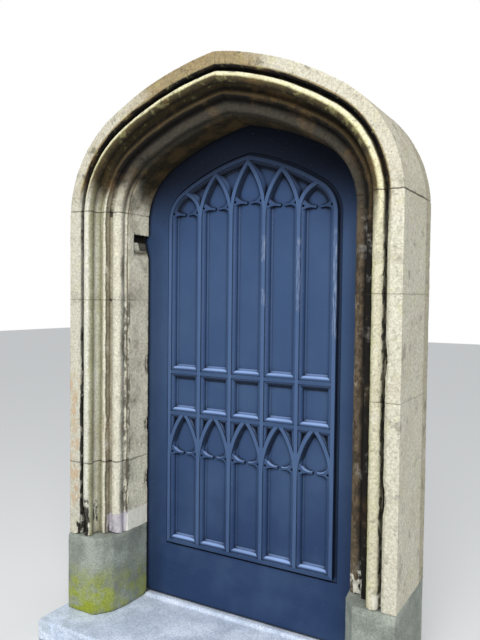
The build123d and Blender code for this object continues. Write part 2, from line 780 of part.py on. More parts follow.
strap_back = ledge_back + STRAP_THICK
bolt_right = LEDGE_HALF - BOLT_PLATE_MARGIN
bolt_left = bolt_right - BOLT_PLATE_LONG
bar_left = bolt_left + GUIDE_SET - BOLT_TAIL - BOLT_TRAVEL
tip_x = bar_left - STRAP_GAP - STRAP_TIP / 2
eye_r = PIN_R + PIN_CLEAR + EYE_WALL
for name, z in (("lower", LEDGE_LOW), ("upper", LEDGE_HIGH_LEVEL)):
    with BuildPart() as strap:
        with BuildSketch(Plane.XZ.offset(-strap_back)):
            with BuildLine():
                Line((HINGE_X, z + STRAP_WIDE / 2), (tip_x, z + STRAP_TIP / 2))
                ThreePointArc(
                    (tip_x, z + STRAP_TIP / 2),
                    (tip_x + STRAP_TIP / 2, z),
                    (tip_x, z - STRAP_TIP / 2),
                )
                Polyline(
                    (tip_x, z - STRAP_TIP / 2),
                    (HINGE_X, z - STRAP_WIDE / 2),
                    (HINGE_X, z + STRAP_WIDE / 2),
                )
            make_face()
        extrude(amount=STRAP_THICK)
        with BuildSketch(Plane.XY.offset(z - STRAP_WIDE / 2)):
            with Locations((HINGE_X, HINGE_Y)):
                Circle(eye_r)
        extrude(amount=STRAP_WIDE)
        with BuildSketch(Plane.XY.offset(z - STRAP_WIDE / 2)):
            with Locations((HINGE_X, HINGE_Y)):
                Circle(PIN_R + PIN_CLEAR)
        extrude(amount=STRAP_WIDE, mode=Mode.SUBTRACT)
    finish(strap.part, f"strap_{name}")

    arm_top = z - STRAP_WIDE / 2 - EYE_GAP
    arm_foot = arm_top - ARM_HIGH
    plate_x = HINGE_X - PIN_STAND
    arm_r = ARM_HIGH / 2
    with BuildPart() as pintle:
        add(
            slab(
                plate_x - PLATE_WIDE,
                plate_x,
                STONE_BACK,
                STONE_BACK + PLATE_THICK,
                arm_foot - (PLATE_HIGH - ARM_HIGH) / 2,
                arm_top + (PLATE_HIGH - ARM_HIGH) / 2,
            )
        )
        add(
            slab(
                plate_x - PLATE_WIDE / 2,
                HINGE_X,
                HINGE_Y - arm_r,
                HINGE_Y + arm_r,
                arm_foot,
                arm_top,
            )
        )
        with BuildSketch(Plane.XY.offset(arm_foot)):
            with Locations((HINGE_X, HINGE_Y)):
                Circle(arm_r)
        extrude(amount=ARM_HIGH)
        with BuildSketch(Plane.XY.offset(arm_foot)):
            with Locations((HINGE_X, HINGE_Y)):
                Circle(PIN_R)
        extrude(amount=z + STRAP_WIDE / 2 + PIN_TOP - arm_foot)
    finish(pintle.part, f"pintle_{name}")

nail_count = int((tip_x - HINGE_X - NAIL_FIRST) // NAIL_PITCH) + 1
with BuildPart() as nails:
    with BuildSketch(Plane.XZ.offset(-strap_back)):
        for z in (LEDGE_LOW, LEDGE_HIGH_LEVEL):
            for number in range(nail_count):
                with Locations((HINGE_X + NAIL_FIRST + number * NAIL_PITCH, z)):
                    Circle(NAIL_R)
    extrude(amount=-NAIL_HIGH)
    chamfer(nails.faces().filter_by(Plane.XZ).group_by(Axis.Y)[-1].edges(), NAIL_HIGH - 1)
finish(nails.part, "strap_nails")


# Slide bolts on the ledges and their keepers on the closing jamb

def tube_block(x, length, y, z, radius, seat):
    """Round-backed block along X from its seat to a rod's centre line and over it."""
    with BuildPart() as block:
        with BuildSketch(Plane.YZ.offset(x)):
            with Locations((y, z)):
                Circle(radius)
            with Locations(((seat + y) / 2, z)):
                Rectangle(y - seat, 2 * radius)
        extrude(amount=length)
    return block.part


def rod(x, length, y, z, radius):
    """Round rod along X."""
    with BuildPart() as round_rod:
        with BuildSketch(Plane.YZ.offset(x)):
            with Locations((y, z)):
                Circle(radius)
        extrude(amount=length)
    return round_rod.part


bolt_seat = ledge_back + BOLT_PLATE_THICK
guide_r = BOLT_R + BOLT_CLEAR + GUIDE_WALL
keeper_hole = BOLT_R + KEEPER_CLEAR
keeper_seat = STONE_BACK + KEEPER_PLATE_THICK
keeper_x = REBATE_HALF + KEEPER_SET
for name, z in (("lower", LEDGE_LOW), ("upper", LEDGE_HIGH_LEVEL)):
    half = BOLT_PLATE_HIGH / 2
    with BuildPart() as bolt_plate:
        add(slab(bolt_left, bolt_right, ledge_back, bolt_seat, z - half, z + half))
        for x in (bolt_left + GUIDE_SET, bolt_right - GUIDE_SET - GUIDE_LONG):
            add(tube_block(x, GUIDE_LONG, BOLT_Y, z, guide_r, bolt_seat))
        add(
            rod(bolt_left, BOLT_PLATE_LONG, BOLT_Y, z, BOLT_R + BOLT_CLEAR),
            mode=Mode.SUBTRACT,
        )
    finish(bolt_plate.part, f"bolt_plate_{name}")

    knob_x = bolt_left + GUIDE_SET + GUIDE_LONG + KNOB_GAP + KNOB_STEM_R
    with BuildPart() as bolt_bar:
        add(rod(bar_left, BOLT_END_X - bar_left, BOLT_Y, z, BOLT_R))
        with BuildSketch(Plane.XZ.offset(-BOLT_Y)):
            with Locations((knob_x, z)):
                Circle(KNOB_STEM_R)
        extrude(amount=-KNOB_STAND)
        with Locations((knob_x, BOLT_Y + KNOB_STAND, z)):
            Sphere(KNOB_R)
    finish(bolt_bar.part, f"bolt_bar_{name}")

    keeper_end = keeper_x + KEEPER_LONG
    staple = keeper_hole + KEEPER_WALL
    with BuildPart() as keeper:
        add(
            slab(
                keeper_x - KEEPER_FLANGE,
                keeper_end + KEEPER_FLANGE,
                STONE_BACK,
                keeper_seat,
                z - half,
                z + half,
            )
        )
        add(slab(keeper_x, keeper_end, keeper_seat, BOLT_Y + staple, z - staple, z + staple))
        add(
            slab(
                keeper_x,
                keeper_end,
                BOLT_Y - keeper_hole,
                BOLT_Y + keeper_hole,
                z - keeper_hole,
                z + keeper_hole,
            ),
            mode=Mode.SUBTRACT,
        )
    finish(keeper.part, f"bolt_keeper_{name}")


# Pull handle on the closing stile

pull_x = (FRAME_IN + LEAF_HALF) / 2
pull_low = PULL_LEVEL - PULL_HIGH / 2
pull_top = PULL_LEVEL + PULL_HIGH / 2
pull_back = LEAF_BACK + PULL_STAND
with BuildPart() as pull:
    with BuildLine(Plane.YZ.offset(pull_x)) as pull_line:
        FilletPolyline(
            (LEAF_BACK, pull_low),
            (pull_back, pull_low),
            (pull_back, pull_top),
            (LEAF_BACK, pull_top),
            radius=PULL_BEND,
        )
    with BuildSketch(Plane.XZ.offset(-LEAF_BACK)):
        with Locations((pull_x, pull_low)):
            Circle(PULL_R)
    sweep(path=pull_line.line)
    with BuildSketch(Plane.XZ.offset(-LEAF_BACK)):
        with Locations((pull_x, pull_low), (pull_x, pull_top)):
            Circle(ROSE_R)
    extrude(amount=-ROSE_THICK)
finish(pull.part, "pull_handle")
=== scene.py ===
"""Weathered stone doorway with a blue painted, traceried door leaf: shapes, finishes and light."""

import logging
import math
from dataclasses import dataclass, field
from enum import Enum

import bpy
from mathutils import Matrix, Vector


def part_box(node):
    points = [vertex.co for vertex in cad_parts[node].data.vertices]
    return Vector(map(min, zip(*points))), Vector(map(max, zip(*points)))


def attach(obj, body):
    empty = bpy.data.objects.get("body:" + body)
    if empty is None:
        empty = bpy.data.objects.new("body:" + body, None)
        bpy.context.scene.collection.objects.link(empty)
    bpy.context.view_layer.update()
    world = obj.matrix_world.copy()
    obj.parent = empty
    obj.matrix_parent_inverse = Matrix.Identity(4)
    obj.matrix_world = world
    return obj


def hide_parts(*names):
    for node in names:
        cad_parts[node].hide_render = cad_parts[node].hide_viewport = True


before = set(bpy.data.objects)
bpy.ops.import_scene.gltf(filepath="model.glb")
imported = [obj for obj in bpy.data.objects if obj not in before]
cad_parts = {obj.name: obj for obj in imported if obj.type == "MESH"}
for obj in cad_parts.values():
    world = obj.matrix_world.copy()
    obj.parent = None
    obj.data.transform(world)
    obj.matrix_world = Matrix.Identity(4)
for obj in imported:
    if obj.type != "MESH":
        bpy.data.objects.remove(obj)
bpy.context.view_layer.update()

log = logging.getLogger("doorway")

Colour = tuple[float, float, float, float]
Stops = tuple[tuple[float, Colour], ...]
Triple = tuple[float, float, float]
Socket = bpy.types.NodeSocket
Outputs = bpy.types.NodeOutputs
Source = Socket | float | Colour | Triple

MOULDED_STONES = ("jamb_stone", "springer", "arch_stone")
GROUND_STONES = ("plinth", "threshold")


def tone(red: int, green: int, blue: int) -> Colour:
    """Turn a screen colour into a linear one.

    Args:
        red: red from 0 to 255
        green: green from 0 to 255
        blue: blue from 0 to 255

    Returns:
        The linear colour with full opacity.
    """
    parts = [part / 255 for part in (red, green, blue)]
    linear = [p / 12.92 if p <= 0.04045 else ((p + 0.055) / 1.055) ** 2.4 for p in parts]
    return (linear[0], linear[1], linear[2], 1.0)


class Grain(Enum):
    """Way the grain of a piece of wood runs."""

    UPRIGHT = "upright"
    LEVEL = "level"


@dataclass(frozen=True)
class Fade:
    """A smooth change of a result, from bottom at one value to top at another."""

    low: float
    high: float
    bottom: float = 0.0
    top: float = 1.0


@dataclass(frozen=True)
class Cloud:
    """A soft noise: its fineness, the number of its finer layers and their strength."""

    scale: float
    detail: float = 3.0
    rough: float = 0.55


@dataclass(frozen=True)
class Spots:
    """A noise with a threshold, which leaves patches with soft edges."""

    scale: float
    low: float
    high: float
    detail: float = 4.0
    rough: float = 0.62


@dataclass(frozen=True)
class ArchLine:
    """The four-centred line that every moulding of the doorway follows, in metres.

    The small arcs rise from the springing, and the large ones take over at the turn, in degrees.
    """

    spring: float = 1.840
    small_x: float = 0.258
    large_x: float = -0.185
    large_z: float = 1.150
    large_less: float = 0.562
    turn: float = 57.3

    def along(self, point: Vector) -> Vector:
        """Direction in which the mouldings run past a point.

        Args:
            point: a point of the doorway

        Returns:
            A direction of length 1.
        """
        if point.z <= self.spring:
            return Vector((0.0, 0.0, 1.0))
        side = math.copysign(1.0, point.x)
        out = Vector((abs(point.x) - self.small_x, 0.0, point.z - self.spring))
        if math.degrees(math.atan2(out.z, out.x)) > self.turn:
            out = Vector((abs(point.x) - self.large_x, 0.0, point.z - self.large_z))
        out.normalize()
        return Vector((-side * out.z, 0.0, out.x))


@dataclass(frozen=True)
class Mark:
    """A place with a colour of its own, in metres."""

    centre: Triple
    reach: Triple
    colour: Colour
    strength: float = 1.0
    torn: bool = False
    solid: float = 0.8


@dataclass
class Graph:
    """Short ways to add and join the nodes of one tree, of a material, a world or a group."""

    tree: bpy.types.NodeTree

    def feed(self, socket: Socket, value: Source) -> None:
        """Join an output to a socket, or set the socket's own value.

        Args:
            socket: input to feed
            value: output of another node, or a plain value
        """
        if isinstance(value, Socket):
            self.tree.links.new(value, socket)
        else:
            socket.default_value = value

    def add(self, kind: str, inputs: dict | None = None, **settings: object) -> bpy.types.Node:
        """Add a node.

        Args:
            kind: type of the node
            inputs: what each input takes, by its name or number
            settings: properties of the node

        Returns:
            The new node.
        """
        node = self.tree.nodes.new(kind)
        for name, value in settings.items():
            setattr(node, name, value)
        for name, value in (inputs or {}).items():
            self.feed(node.inputs[name], value)
        return node

    def sum(
        self,
        operation: str,
        first: Source,
        second: Source = 0.0,
        third: Source = 0.0,
    ) -> Socket:
        """Add a Math node.

        Args:
            operation: name of the operation
            first: first value or output
            second: second value or output
            third: third value or output

        Returns:
            The node's output.
        """
        values = {0: first, 1: second, 2: third}
        return self.add("ShaderNodeMath", values, operation=operation).outputs[0]

    def split(self, vector: Source) -> Outputs:
        """Take a place or a direction apart.

        Args:
            vector: place or direction

        Returns:
            Its X, Y and Z.
        """
        return self.add("ShaderNodeSeparateXYZ", {0: vector}).outputs

    def fade(self, value: Source, fade: Fade) -> Socket:
        """Carry a value smoothly from one range to another.

        Args:
            value: output to carry over
            fade: both ranges

        Returns:
            The node's output.
        """
        values = {
            "Value": value,
            "From Min": fade.low,
            "From Max": fade.high,
            "To Min": fade.bottom,
            "To Max": fade.top,
        }
        return self.add("ShaderNodeMapRange", values, interpolation_type="SMOOTHSTEP").outputs[0]

    def noise(self, vector: Source, cloud: Cloud | Spots) -> Socket:
        """Add a noise texture.

        Args:
            vector: place that the noise is read at
            cloud: size and layers of the noise

        Returns:
            The grey value of the noise.
        """
        values = {
            "Vector": vector,
            "Scale": cloud.scale,
            "Detail": cloud.detail,
            "Roughness": cloud.rough,
        }
        return self.add("ShaderNodeTexNoise", values).outputs["Fac"]

    def patches(self, vector: Source, spots: Spots) -> Socket:
        """Add a noise with a threshold.

        Args:
            vector: place that the noise is read at
            spots: size and threshold of the noise

        Returns:
            A mask from 0 to 1.
        """
        return self.fade(self.noise(vector, spots), Fade(spots.low, spots.high))

    def mix(self, factor: Source, first: Source, second: Source, blend: str = "MIX") -> Socket:
        """Mix two colours.

        Args:
            factor: share of the second colour
            first: colour below
            second: colour on top
            blend: way of mixing

        Returns:
            The mixed colour.
        """
        values = {0: factor, 6: first, 7: second}
        return self.add("ShaderNodeMix", values, data_type="RGBA", blend_type=blend).outputs[2]

    def shaded(self, colour: Source, shade: Source) -> Socket:
        """Make a colour darker or lighter.

        Args:
            colour: colour to change
            shade: what it is multiplied by

        Returns:
            The changed colour.
        """
        grey = self.add("ShaderNodeCombineColor", {0: shade, 1: shade, 2: shade}).outputs[0]
        return self.mix(1.0, colour, grey, "MULTIPLY")

    def ramp(self, factor: Source, stops: Stops) -> Socket:
        """Add a colour ramp.

        Args:
            factor: value that runs along the ramp
            stops: place and colour of each stop, in order

        Returns:
            The colour.
        """
        node = self.add("ShaderNodeValToRGB", {"Fac": factor})
        elements = node.color_ramp.elements
        while len(elements) < len(stops):
            elements.new(0.5)
        for element, (place, colour) in zip(elements, stops):
            element.position = place
            element.color = colour
        return node.outputs["Color"]

    def marked(self, axes: Outputs, mark: Mark, torn: Socket) -> Source:
        """Mask of one marked place.

        Args:
            axes: X, Y and Z of the place
            mark: the marked place
            torn: mask that breaks up torn marks

        Returns:
            A mask from 0 to 1.
        """
        mask: Source = mark.strength
        for axis, (centre, reach) in enumerate(zip(mark.centre, mark.reach)):
            off = self.sum("ABSOLUTE", self.sum("SUBTRACT", axes[axis], centre))
            mask = self.sum("MULTIPLY", mask, self.fade(off, Fade(reach, reach * mark.solid)))
        return self.sum("MULTIPLY", mask, torn) if mark.torn else mask

    def stretched(self, vector: Source, scale: Triple) -> Socket:
        """Stretch a place before it reaches a texture.

        Args:
            vector: place
            scale: factor along each axis

        Returns:
            The stretched place.
        """
        return self.add("ShaderNodeMapping", {"Vector": vector, "Scale": scale}).outputs[0]

    def sky_share(self, reach: float, samples: int) -> Socket:
        """Tell how open a place is to the air around it.

        Args:
            reach: how far away a surface still closes it off, in metres
            samples: number of directions that are tried

        Returns:
            A value from 0 in a deep corner to 1 on an open face.
        """
        node = self.add("ShaderNodeAmbientOcclusion", {"Distance": reach}, samples=samples)
        return node.outputs["AO"]

    def bump(self, height: Source, distance: float, strength: float, radius: float = 0.0) -> Socket:
        """Turn a height into a bumpy surface.

        Args:
            height: height of the surface
            distance: how far a height of 1 stands out, in metres
            strength: how much of the bumps shows
            radius: radius that sharp edges are rounded to, in metres

        Returns:
            The direction that the surface faces.
        """
        values = {"Height": height, "Distance": distance, "Strength": strength}
        if radius > 0:
            rounded = self.add("ShaderNodeBevel", {"Radius": radius}, samples=4)
            values["Normal"] = rounded.outputs[0]
        return self.add("ShaderNodeBump", values).outputs[0]


def open_material(name: str, **settings: float) -> tuple[bpy.types.Material, Graph, bpy.types.Node]:
    """Make a material with one Principled shader.

    Args:
        name: name of the material
        settings: plain values for the shader's own sockets, with _ for a space

    Returns:
        The material, its node graph and the shader.
    """
    material = bpy.data.materials.new(name)
    material.use_nodes = True
    graph = Graph(material.node_tree)
    shader = material.node_tree.nodes["Principled BSDF"]
    for socket, value in settings.items():
        shader.inputs[socket.replace("_", " ")].default_value = value
    return material, graph, shader


@dataclass
class Effects:
    """Node groups that several finishes share."""

    line: ArchLine
    arch_below: float = 0.15
    arch_above: float = 0.22
    swell: Cloud = Cloud(18.0, 3.0)
    swell_height: float = 0.9
    grain: Cloud = Cloud(190.0, 5.0, 0.7)
    grain_height: float = 0.45
    pits: Spots = Spots(75.0, 0.60, 0.70, 2.0)
    pit_height: float = -0.6
    place: bpy.types.NodeTree = field(init=False)
    pitting: bpy.types.NodeTree = field(init=False)

    def __post_init__(self) -> None:
        """Build each group once."""
        self.place = self._place()
        self.pitting = self._pitting()

    @staticmethod
    def _open(
        name: str,
        inputs: dict[str, str],
        outputs: dict[str, str],
    ) -> tuple[bpy.types.NodeTree, Graph, bpy.types.Node, bpy.types.Node]:
        """Make an empty group with its sockets.

        Args:
            name: name of the group
            inputs: kind of each input socket by name
            outputs: kind of each output socket by name

        Returns:
            The group, its graph, and its input and output nodes.
        """
        tree = bpy.data.node_groups.new(name, "ShaderNodeTree")
        for title, kind in inputs.items():
            tree.interface.new_socket(title, in_out="INPUT", socket_type=kind)
        for title, kind in outputs.items():
            tree.interface.new_socket(title, in_out="OUTPUT", socket_type=kind)
        graph = Graph(tree)
        return tree, graph, graph.add("NodeGroupInput"), graph.add("NodeGroupOutput")

    def _place(self) -> bpy.types.NodeTree:
        """Group that finds a point's place on the moulded section and along the arch.

        Returns:
            The group, with outputs Half, Arch and Right.
        """
        line = self.line
        tree, graph, start, end = self._open(
            "section place",
            {"Place": "NodeSocketVector"},
            {"Half": "NodeSocketFloat", "Arch": "NodeSocketFloat", "Right": "NodeSocketFloat"},
        )
        axes = graph.split(start.outputs["Place"])
        across = graph.sum("ABSOLUTE", axes[0])
        small_run = graph.sum("SUBTRACT", across, line.small_x)
        small_rise = graph.sum("SUBTRACT", axes[2], line.spring)
        large_run = graph.sum("SUBTRACT", across, line.large_x)
        large_rise = graph.sum("SUBTRACT", axes[2], line.large_z)
        small = graph.sum("ADD", self._length(graph, small_run, small_rise), line.small_x)
        large = graph.sum("SUBTRACT", self._length(graph, large_run, large_rise), line.large_less)
        turn = math.radians(line.turn)
        rise = graph.sum("MULTIPLY", small_rise, math.cos(turn))
        run = graph.sum("MULTIPLY", small_run, math.sin(turn))
        is_large = graph.sum("GREATER_THAN", rise, run)
        is_above = graph.sum("GREATER_THAN", axes[2], line.spring)
        curved = self._pick(graph, is_large, small, large)
        graph.feed(end.inputs["Half"], self._pick(graph, is_above, across, curved))
        turning = Fade(line.spring - self.arch_below, line.spring + self.arch_above)
        graph.feed(end.inputs["Arch"], graph.fade(axes[2], turning))
        graph.feed(end.inputs["Right"], graph.sum("GREATER_THAN", axes[0], 0.0))
        return tree

    @staticmethod
    def _length(graph: Graph, run: Source, rise: Source) -> Socket:
        """Length of a slope from its run and rise.

        Args:
            graph: graph to add to
            run: level part
            rise: upright part

        Returns:
            The length.
        """
        squares = graph.sum("MULTIPLY_ADD", run, run, graph.sum("MULTIPLY", rise, rise))
        return graph.sum("SQRT", squares)

    @staticmethod
    def _pick(graph: Graph, switch: Source, off: Source, on: Source) -> Socket:
        """Choose one of two values.

        Args:
            graph: graph to add to
            switch: 0 or 1
            off: value at 0
            on: value at 1

        Returns:
            The chosen value.
        """
        return graph.add("ShaderNodeMix", {0: switch, 2: off, 3: on}, data_type="FLOAT").outputs[0]

    def _pitting(self) -> bpy.types.NodeTree:
        """Group that gives the height of a weathered stone face.

        Returns:
            The group, with inputs Place and Depth and output Height.
        """
        tree, graph, start, end = self._open(
            "stone pitting",
            {"Place": "NodeSocketVector", "Depth": "NodeSocketFloat"},
            {"Height": "NodeSocketFloat"},
        )
        place = start.outputs["Place"]
        swell = graph.noise(place, self.swell)
        grain = graph.noise(place, self.grain)
        pits = graph.patches(place, self.pits)
        swell = graph.sum("MULTIPLY", swell, self.swell_height)
        height = graph.sum("MULTIPLY_ADD", grain, self.grain_height, swell)
        height = graph.sum("MULTIPLY_ADD", pits, self.pit_height, height)
        graph.feed(end.inputs["Height"], graph.sum("MULTIPLY", height, start.outputs["Depth"]))
        return tree

    @staticmethod
    def use(graph: Graph, group: bpy.types.NodeTree, **values: Source) -> Outputs:
        """Place a group in a material.

        Args:
            graph: graph of the material
            group: group to place
            values: what each input takes

        Returns:
            The group's outputs.
        """
        return graph.add("ShaderNodeGroup", values, node_tree=group).outputs


@dataclass(frozen=True)
class Limestone:
    """Pale limestone with honey patches, black crust in the hollows and lichen on the shafts.

    The ramps left, right and arch run across the mouldings, from the reveal at 0 to the outer
    band at 1. Besides the stone's own colours they hold painted shade in the quirks, hollows,
    slots and undersides, and on the arch a painted highlight along the front edge of the shaft.
    """

    section_in: float = 0.530
    section_out: float = 0.752
    # Left jamb: the stone's colours, with painted shade as dark lines in the quirks, in the hollow
    # and in the slot.
    left: Stops = (
        (0.00, tone(234, 229, 206)),
        (0.03, tone(224, 219, 196)),
        (0.055, tone(84, 78, 64)),
        (0.085, tone(214, 210, 190)),
        (0.24, tone(210, 206, 186)),
        (0.30, tone(142, 134, 112)),
        (0.325, tone(70, 64, 52)),
        (0.345, tone(220, 216, 194)),
        (0.43, tone(210, 206, 182)),
        (0.47, tone(122, 120, 94)),
        (0.50, tone(158, 156, 128)),
        (0.54, tone(214, 212, 198)),
        (0.67, tone(206, 204, 184)),
        (0.695, tone(44, 40, 32)),
        (0.728, tone(30, 28, 24)),
        (0.74, tone(194, 191, 176)),
        (1.00, tone(190, 187, 172)),
    )
    # Right jamb: dirt together with painted shade darkens the reveal, the roll and the hollows; the
    # slot holds painted shade.
    right: Stops = (
        (0.00, tone(120, 112, 94)),
        (0.06, tone(98, 86, 68)),
        (0.20, tone(90, 78, 62)),
        (0.255, tone(20, 18, 16)),
        (0.33, tone(16, 14, 12)),
        (0.42, tone(26, 23, 18)),
        (0.468, tone(22, 20, 14)),
        (0.482, tone(158, 158, 92)),
        (0.51, tone(190, 186, 152)),
        (0.56, tone(198, 193, 168)),
        (0.665, tone(194, 189, 164)),
        (0.69, tone(150, 144, 118)),
        (0.70, tone(12, 11, 10)),
        (0.728, tone(12, 11, 10)),
        (0.74, tone(188, 185, 164)),
        (1.00, tone(184, 180, 160)),
    )
    # Arch: painted shade on the soffit, the undersides, the hollows and the slot with the band's
    # return, and a painted highlight on the front edge of the shaft.
    arch: Stops = (
        (0.00, tone(38, 31, 18)),
        (0.04, tone(44, 38, 25)),
        (0.10, tone(68, 64, 55)),
        (0.20, tone(52, 48, 40)),
        (0.26, tone(16, 14, 11)),
        (0.33, tone(18, 15, 11)),
        (0.36, tone(74, 62, 40)),
        (0.43, tone(54, 44, 28)),
        (0.465, tone(22, 18, 12)),
        (0.50, tone(50, 42, 26)),
        (0.57, tone(78, 68, 42)),
        (0.605, tone(214, 208, 166)),
        (0.655, tone(230, 226, 194)),
        (0.668, tone(140, 130, 96)),
        (0.678, tone(10, 8, 10)),
        (0.765, tone(10, 8, 10)),
        (0.782, tone(150, 134, 100)),
        (1.00, tone(146, 130, 98)),
    )
    pale_band: Colour = tone(202, 198, 180)
    sawn: Colour = tone(172, 166, 146)
    marks: tuple[Mark, ...] = (
        # Repair block in the left reveal, and the foot of the roll beside it.
        Mark((-0.535, -0.075, 0.475), (0.030, 0.110, 0.052), tone(232, 229, 214)),
        Mark((-0.569, -0.178, 0.468), (0.031, 0.050, 0.058), tone(180, 174, 184), 0.80),
        # Painted shadow under the lip of the notch in the left reveal.
        Mark((-0.557, -0.060, 1.770), (0.021, 0.062, 0.024), tone(16, 14, 11)),
        Mark((-0.557, -0.030, 1.742), (0.021, 0.042, 0.034), tone(16, 14, 11), 0.85),
        # Crumbled foot of the left shaft.
        Mark((-0.668, -0.270, 0.490), (0.017, 0.060, 0.078), tone(30, 29, 22), 0.90),
        Mark((-0.676, -0.270, 0.500), (0.036, 0.060, 0.105), tone(26, 25, 20), 0.95, True),
        # Dark slots and flakes along the shafts and the left roll; the slots are darkened with dirt
        # and with painted shade in their depth.
        Mark((-0.688, -0.280, 0.860), (0.008, 0.040, 0.420), tone(24, 22, 18), 0.9),
        Mark((-0.725, -0.300, 0.860), (0.030, 0.020, 0.330), tone(186, 160, 128), 0.7, True),
        Mark((-0.545, -0.155, 1.000), (0.012, 0.020, 0.560), tone(60, 54, 44), 0.7, True),
        Mark((0.686, -0.290, 1.100), (0.008, 0.040, 0.700), tone(14, 13, 12), 0.85, True),
        # Bed joints.
        Mark((-0.660, -0.150, 0.757), (0.140, 0.170, 0.0040), tone(46, 41, 32), 0.60),
        Mark((-0.660, -0.150, 1.484), (0.140, 0.170, 0.0030), tone(70, 64, 50), 0.25),
        Mark((0.660, -0.150, 1.152), (0.140, 0.170, 0.0030), tone(70, 64, 50), 0.20),
        Mark((0.660, -0.150, 1.521), (0.140, 0.170, 0.0030), tone(70, 64, 50), 0.30),
        Mark((-0.660, -0.150, 1.873), (0.140, 0.170, 0.0035), tone(46, 41, 32), 0.55),
        Mark((0.660, -0.150, 1.873), (0.140, 0.170, 0.0035), tone(46, 41, 32), 0.65),
        # Mortar at the foot of the right jamb, and the dark specks of its roll.
        Mark((0.571, -0.190, 0.470), (0.034, 0.060, 0.050), tone(204, 201, 188), 0.90, True),
        Mark((0.665, -0.290, 0.452), (0.042, 0.050, 0.034), tone(210, 207, 194), 0.85, True),
        Mark((0.575, -0.190, 1.150), (0.040, 0.050, 0.620), tone(20, 17, 14), 0.55, True),
    )
    crust: Colour = tone(30, 27, 23)
    honey: Colour = tone(134, 104, 62)
    lichen: Colour = tone(190, 188, 128)
    bleach: Colour = tone(226, 223, 212)
    wander: Cloud = Cloud(9.0, 4.0)
    wander_across: float = 0.012
    wander_up: float = 0.20
    right_up: float = 0.12
    arch_begins: Fade = Fade(1.85, 2.02)
    band_begins: Fade = Fade(0.704, 0.709)
    crown_x: float = -0.09
    crown_wander: float = 0.25
    crown_ends: Fade = Fade(0.20, 0.36, 0.0, 0.85)
    back_begins: Fade = Fade(-0.012, -0.002)
    honey_spots: Spots = Spots(7.0, 0.50, 0.66, 7.0)
    honey_share: Fade = Fade(0.0, 1.0, 0.14, 0.24)
    lichen_spots: Spots = Spots(26.0, 0.56, 0.64, 6.0)
    lichen_begins: Fade = Fade(0.632, 0.645)
    lichen_share: float = 0.22
    bleach_spots: Spots = Spots(14.0, 0.54, 0.72, 8.0)
    bleach_share: Fade = Fade(0.0, 0.6, 0.35, 0.0)
    grain: Cloud = Cloud(105.0, 6.0, 0.8)
    grain_shade: Fade = Fade(0.32, 0.68, 0.66, 1.16)
    hollow_reach: float = 0.05
    hollow_shade: Fade = Fade(0.58, 0.20)
    crust_spots: Spots = Spots(17.0, 0.56, 0.66, 7.0)
    crust_overhead: float = 0.55
    crust_right: float = 0.35
    crust_least: float = 0.14
    crust_in_hollow: float = 0.65
    mark_noise: float = 30.0
    mark_wander: float = 0.014
    torn_stretch: Triple = (1.0, 1.0, 0.5)
    torn_spots: Spots = Spots(38.0, 0.47, 0.54, 6.0)
    pit_depth: float = 0.0028

    def build(self, effects: Effects) -> bpy.types.Material:
        """Make the material.

        Args:
            effects: shared node groups

        Returns:
            The material.
        """
        plain = {"Roughness": 0.92, "Specular_IOR_Level": 0.25}
        material, graph, shader = open_material("limestone", **plain)
        place = graph.add("ShaderNodeTexCoord").outputs["Object"]
        warp = graph.noise(place, self.wander)
        axes = graph.split(place)
        found = effects.use(graph, effects.place, Place=place)
        colour = self._banded(graph, warp, axes, found)
        colour = graph.mix(graph.fade(axes[1], self.back_begins), colour, self.sawn)
        colour = self._patched(graph, place, found, colour)
        colour = self._crusted(graph, place, found, colour)
        colour = self._marked(graph, place, colour)
        graph.feed(shader.inputs["Base Color"], colour)
        pits = effects.use(graph, effects.pitting, Place=place, Depth=self.pit_depth)
        graph.feed(shader.inputs["Normal"], graph.bump(pits["Height"], 1.0, 1.0))
        return material

    def _banded(self, graph: Graph, warp: Socket, axes: Outputs, found: Outputs) -> Socket:
        """Colour the mouldings one by one, across the section, with painted shade and highlight.

        Args:
            graph: graph of the material
            warp: slow noise that the bands wander with
            axes: X, Y and Z of the place
            found: outputs of the place group

        Returns:
            The colour of the clean stone, with its painted shade and highlight.
        """
        drift = graph.sum("SUBTRACT", warp, 0.5)
        ragged = graph.sum("MULTIPLY_ADD", drift, self.wander_across, found["Half"])
        width = self.section_out - self.section_in
        along = graph.sum("DIVIDE", graph.sum("SUBTRACT", ragged, self.section_in), width)
        left, right = graph.ramp(along, self.left), graph.ramp(along, self.right)
        jamb = graph.mix(found["Right"], left, right)
        level = graph.sum("MULTIPLY_ADD", drift, self.wander_up, axes[2])
        level = graph.sum("MULTIPLY_ADD", found["Right"], self.right_up, level)
        arch = graph.ramp(along, self.arch)
        colour = graph.mix(graph.fade(level, self.arch_begins), jamb, arch)
        on_band = graph.fade(found["Half"], self.band_begins)
        crown = graph.sum("ABSOLUTE", graph.sum("SUBTRACT", axes[0], self.crown_x))
        crown = graph.sum("MULTIPLY_ADD", drift, self.crown_wander, crown)
        clean = graph.sum("MULTIPLY", on_band, graph.fade(crown, self.crown_ends))
        return graph.mix(clean, colour, self.pale_band)

    def _patched(self, graph: Graph, place: Socket, found: Outputs, colour: Socket) -> Socket:
        """Lay the patches over the clean stone.

        Args:
            graph: graph of the material
            place: object coordinates
            found: outputs of the place group
            colour: colour of the clean stone

        Returns:
            The colour with honey, lichen and bleached spots.
        """
        honey = graph.patches(place, self.honey_spots)
        share = graph.sum("MULTIPLY", honey, graph.fade(found["Arch"], self.honey_share))
        colour = graph.mix(share, colour, self.honey)
        lichen = graph.patches(place, self.lichen_spots)
        on_shaft = graph.fade(found["Half"], self.lichen_begins)
        share = graph.sum("MULTIPLY", on_shaft, self.lichen_share)
        colour = graph.mix(graph.sum("MULTIPLY", lichen, share), colour, self.lichen)
        bleach = graph.patches(place, self.bleach_spots)
        share = graph.sum("MULTIPLY", bleach, graph.fade(found["Arch"], self.bleach_share))
        return graph.mix(share, colour, self.bleach)

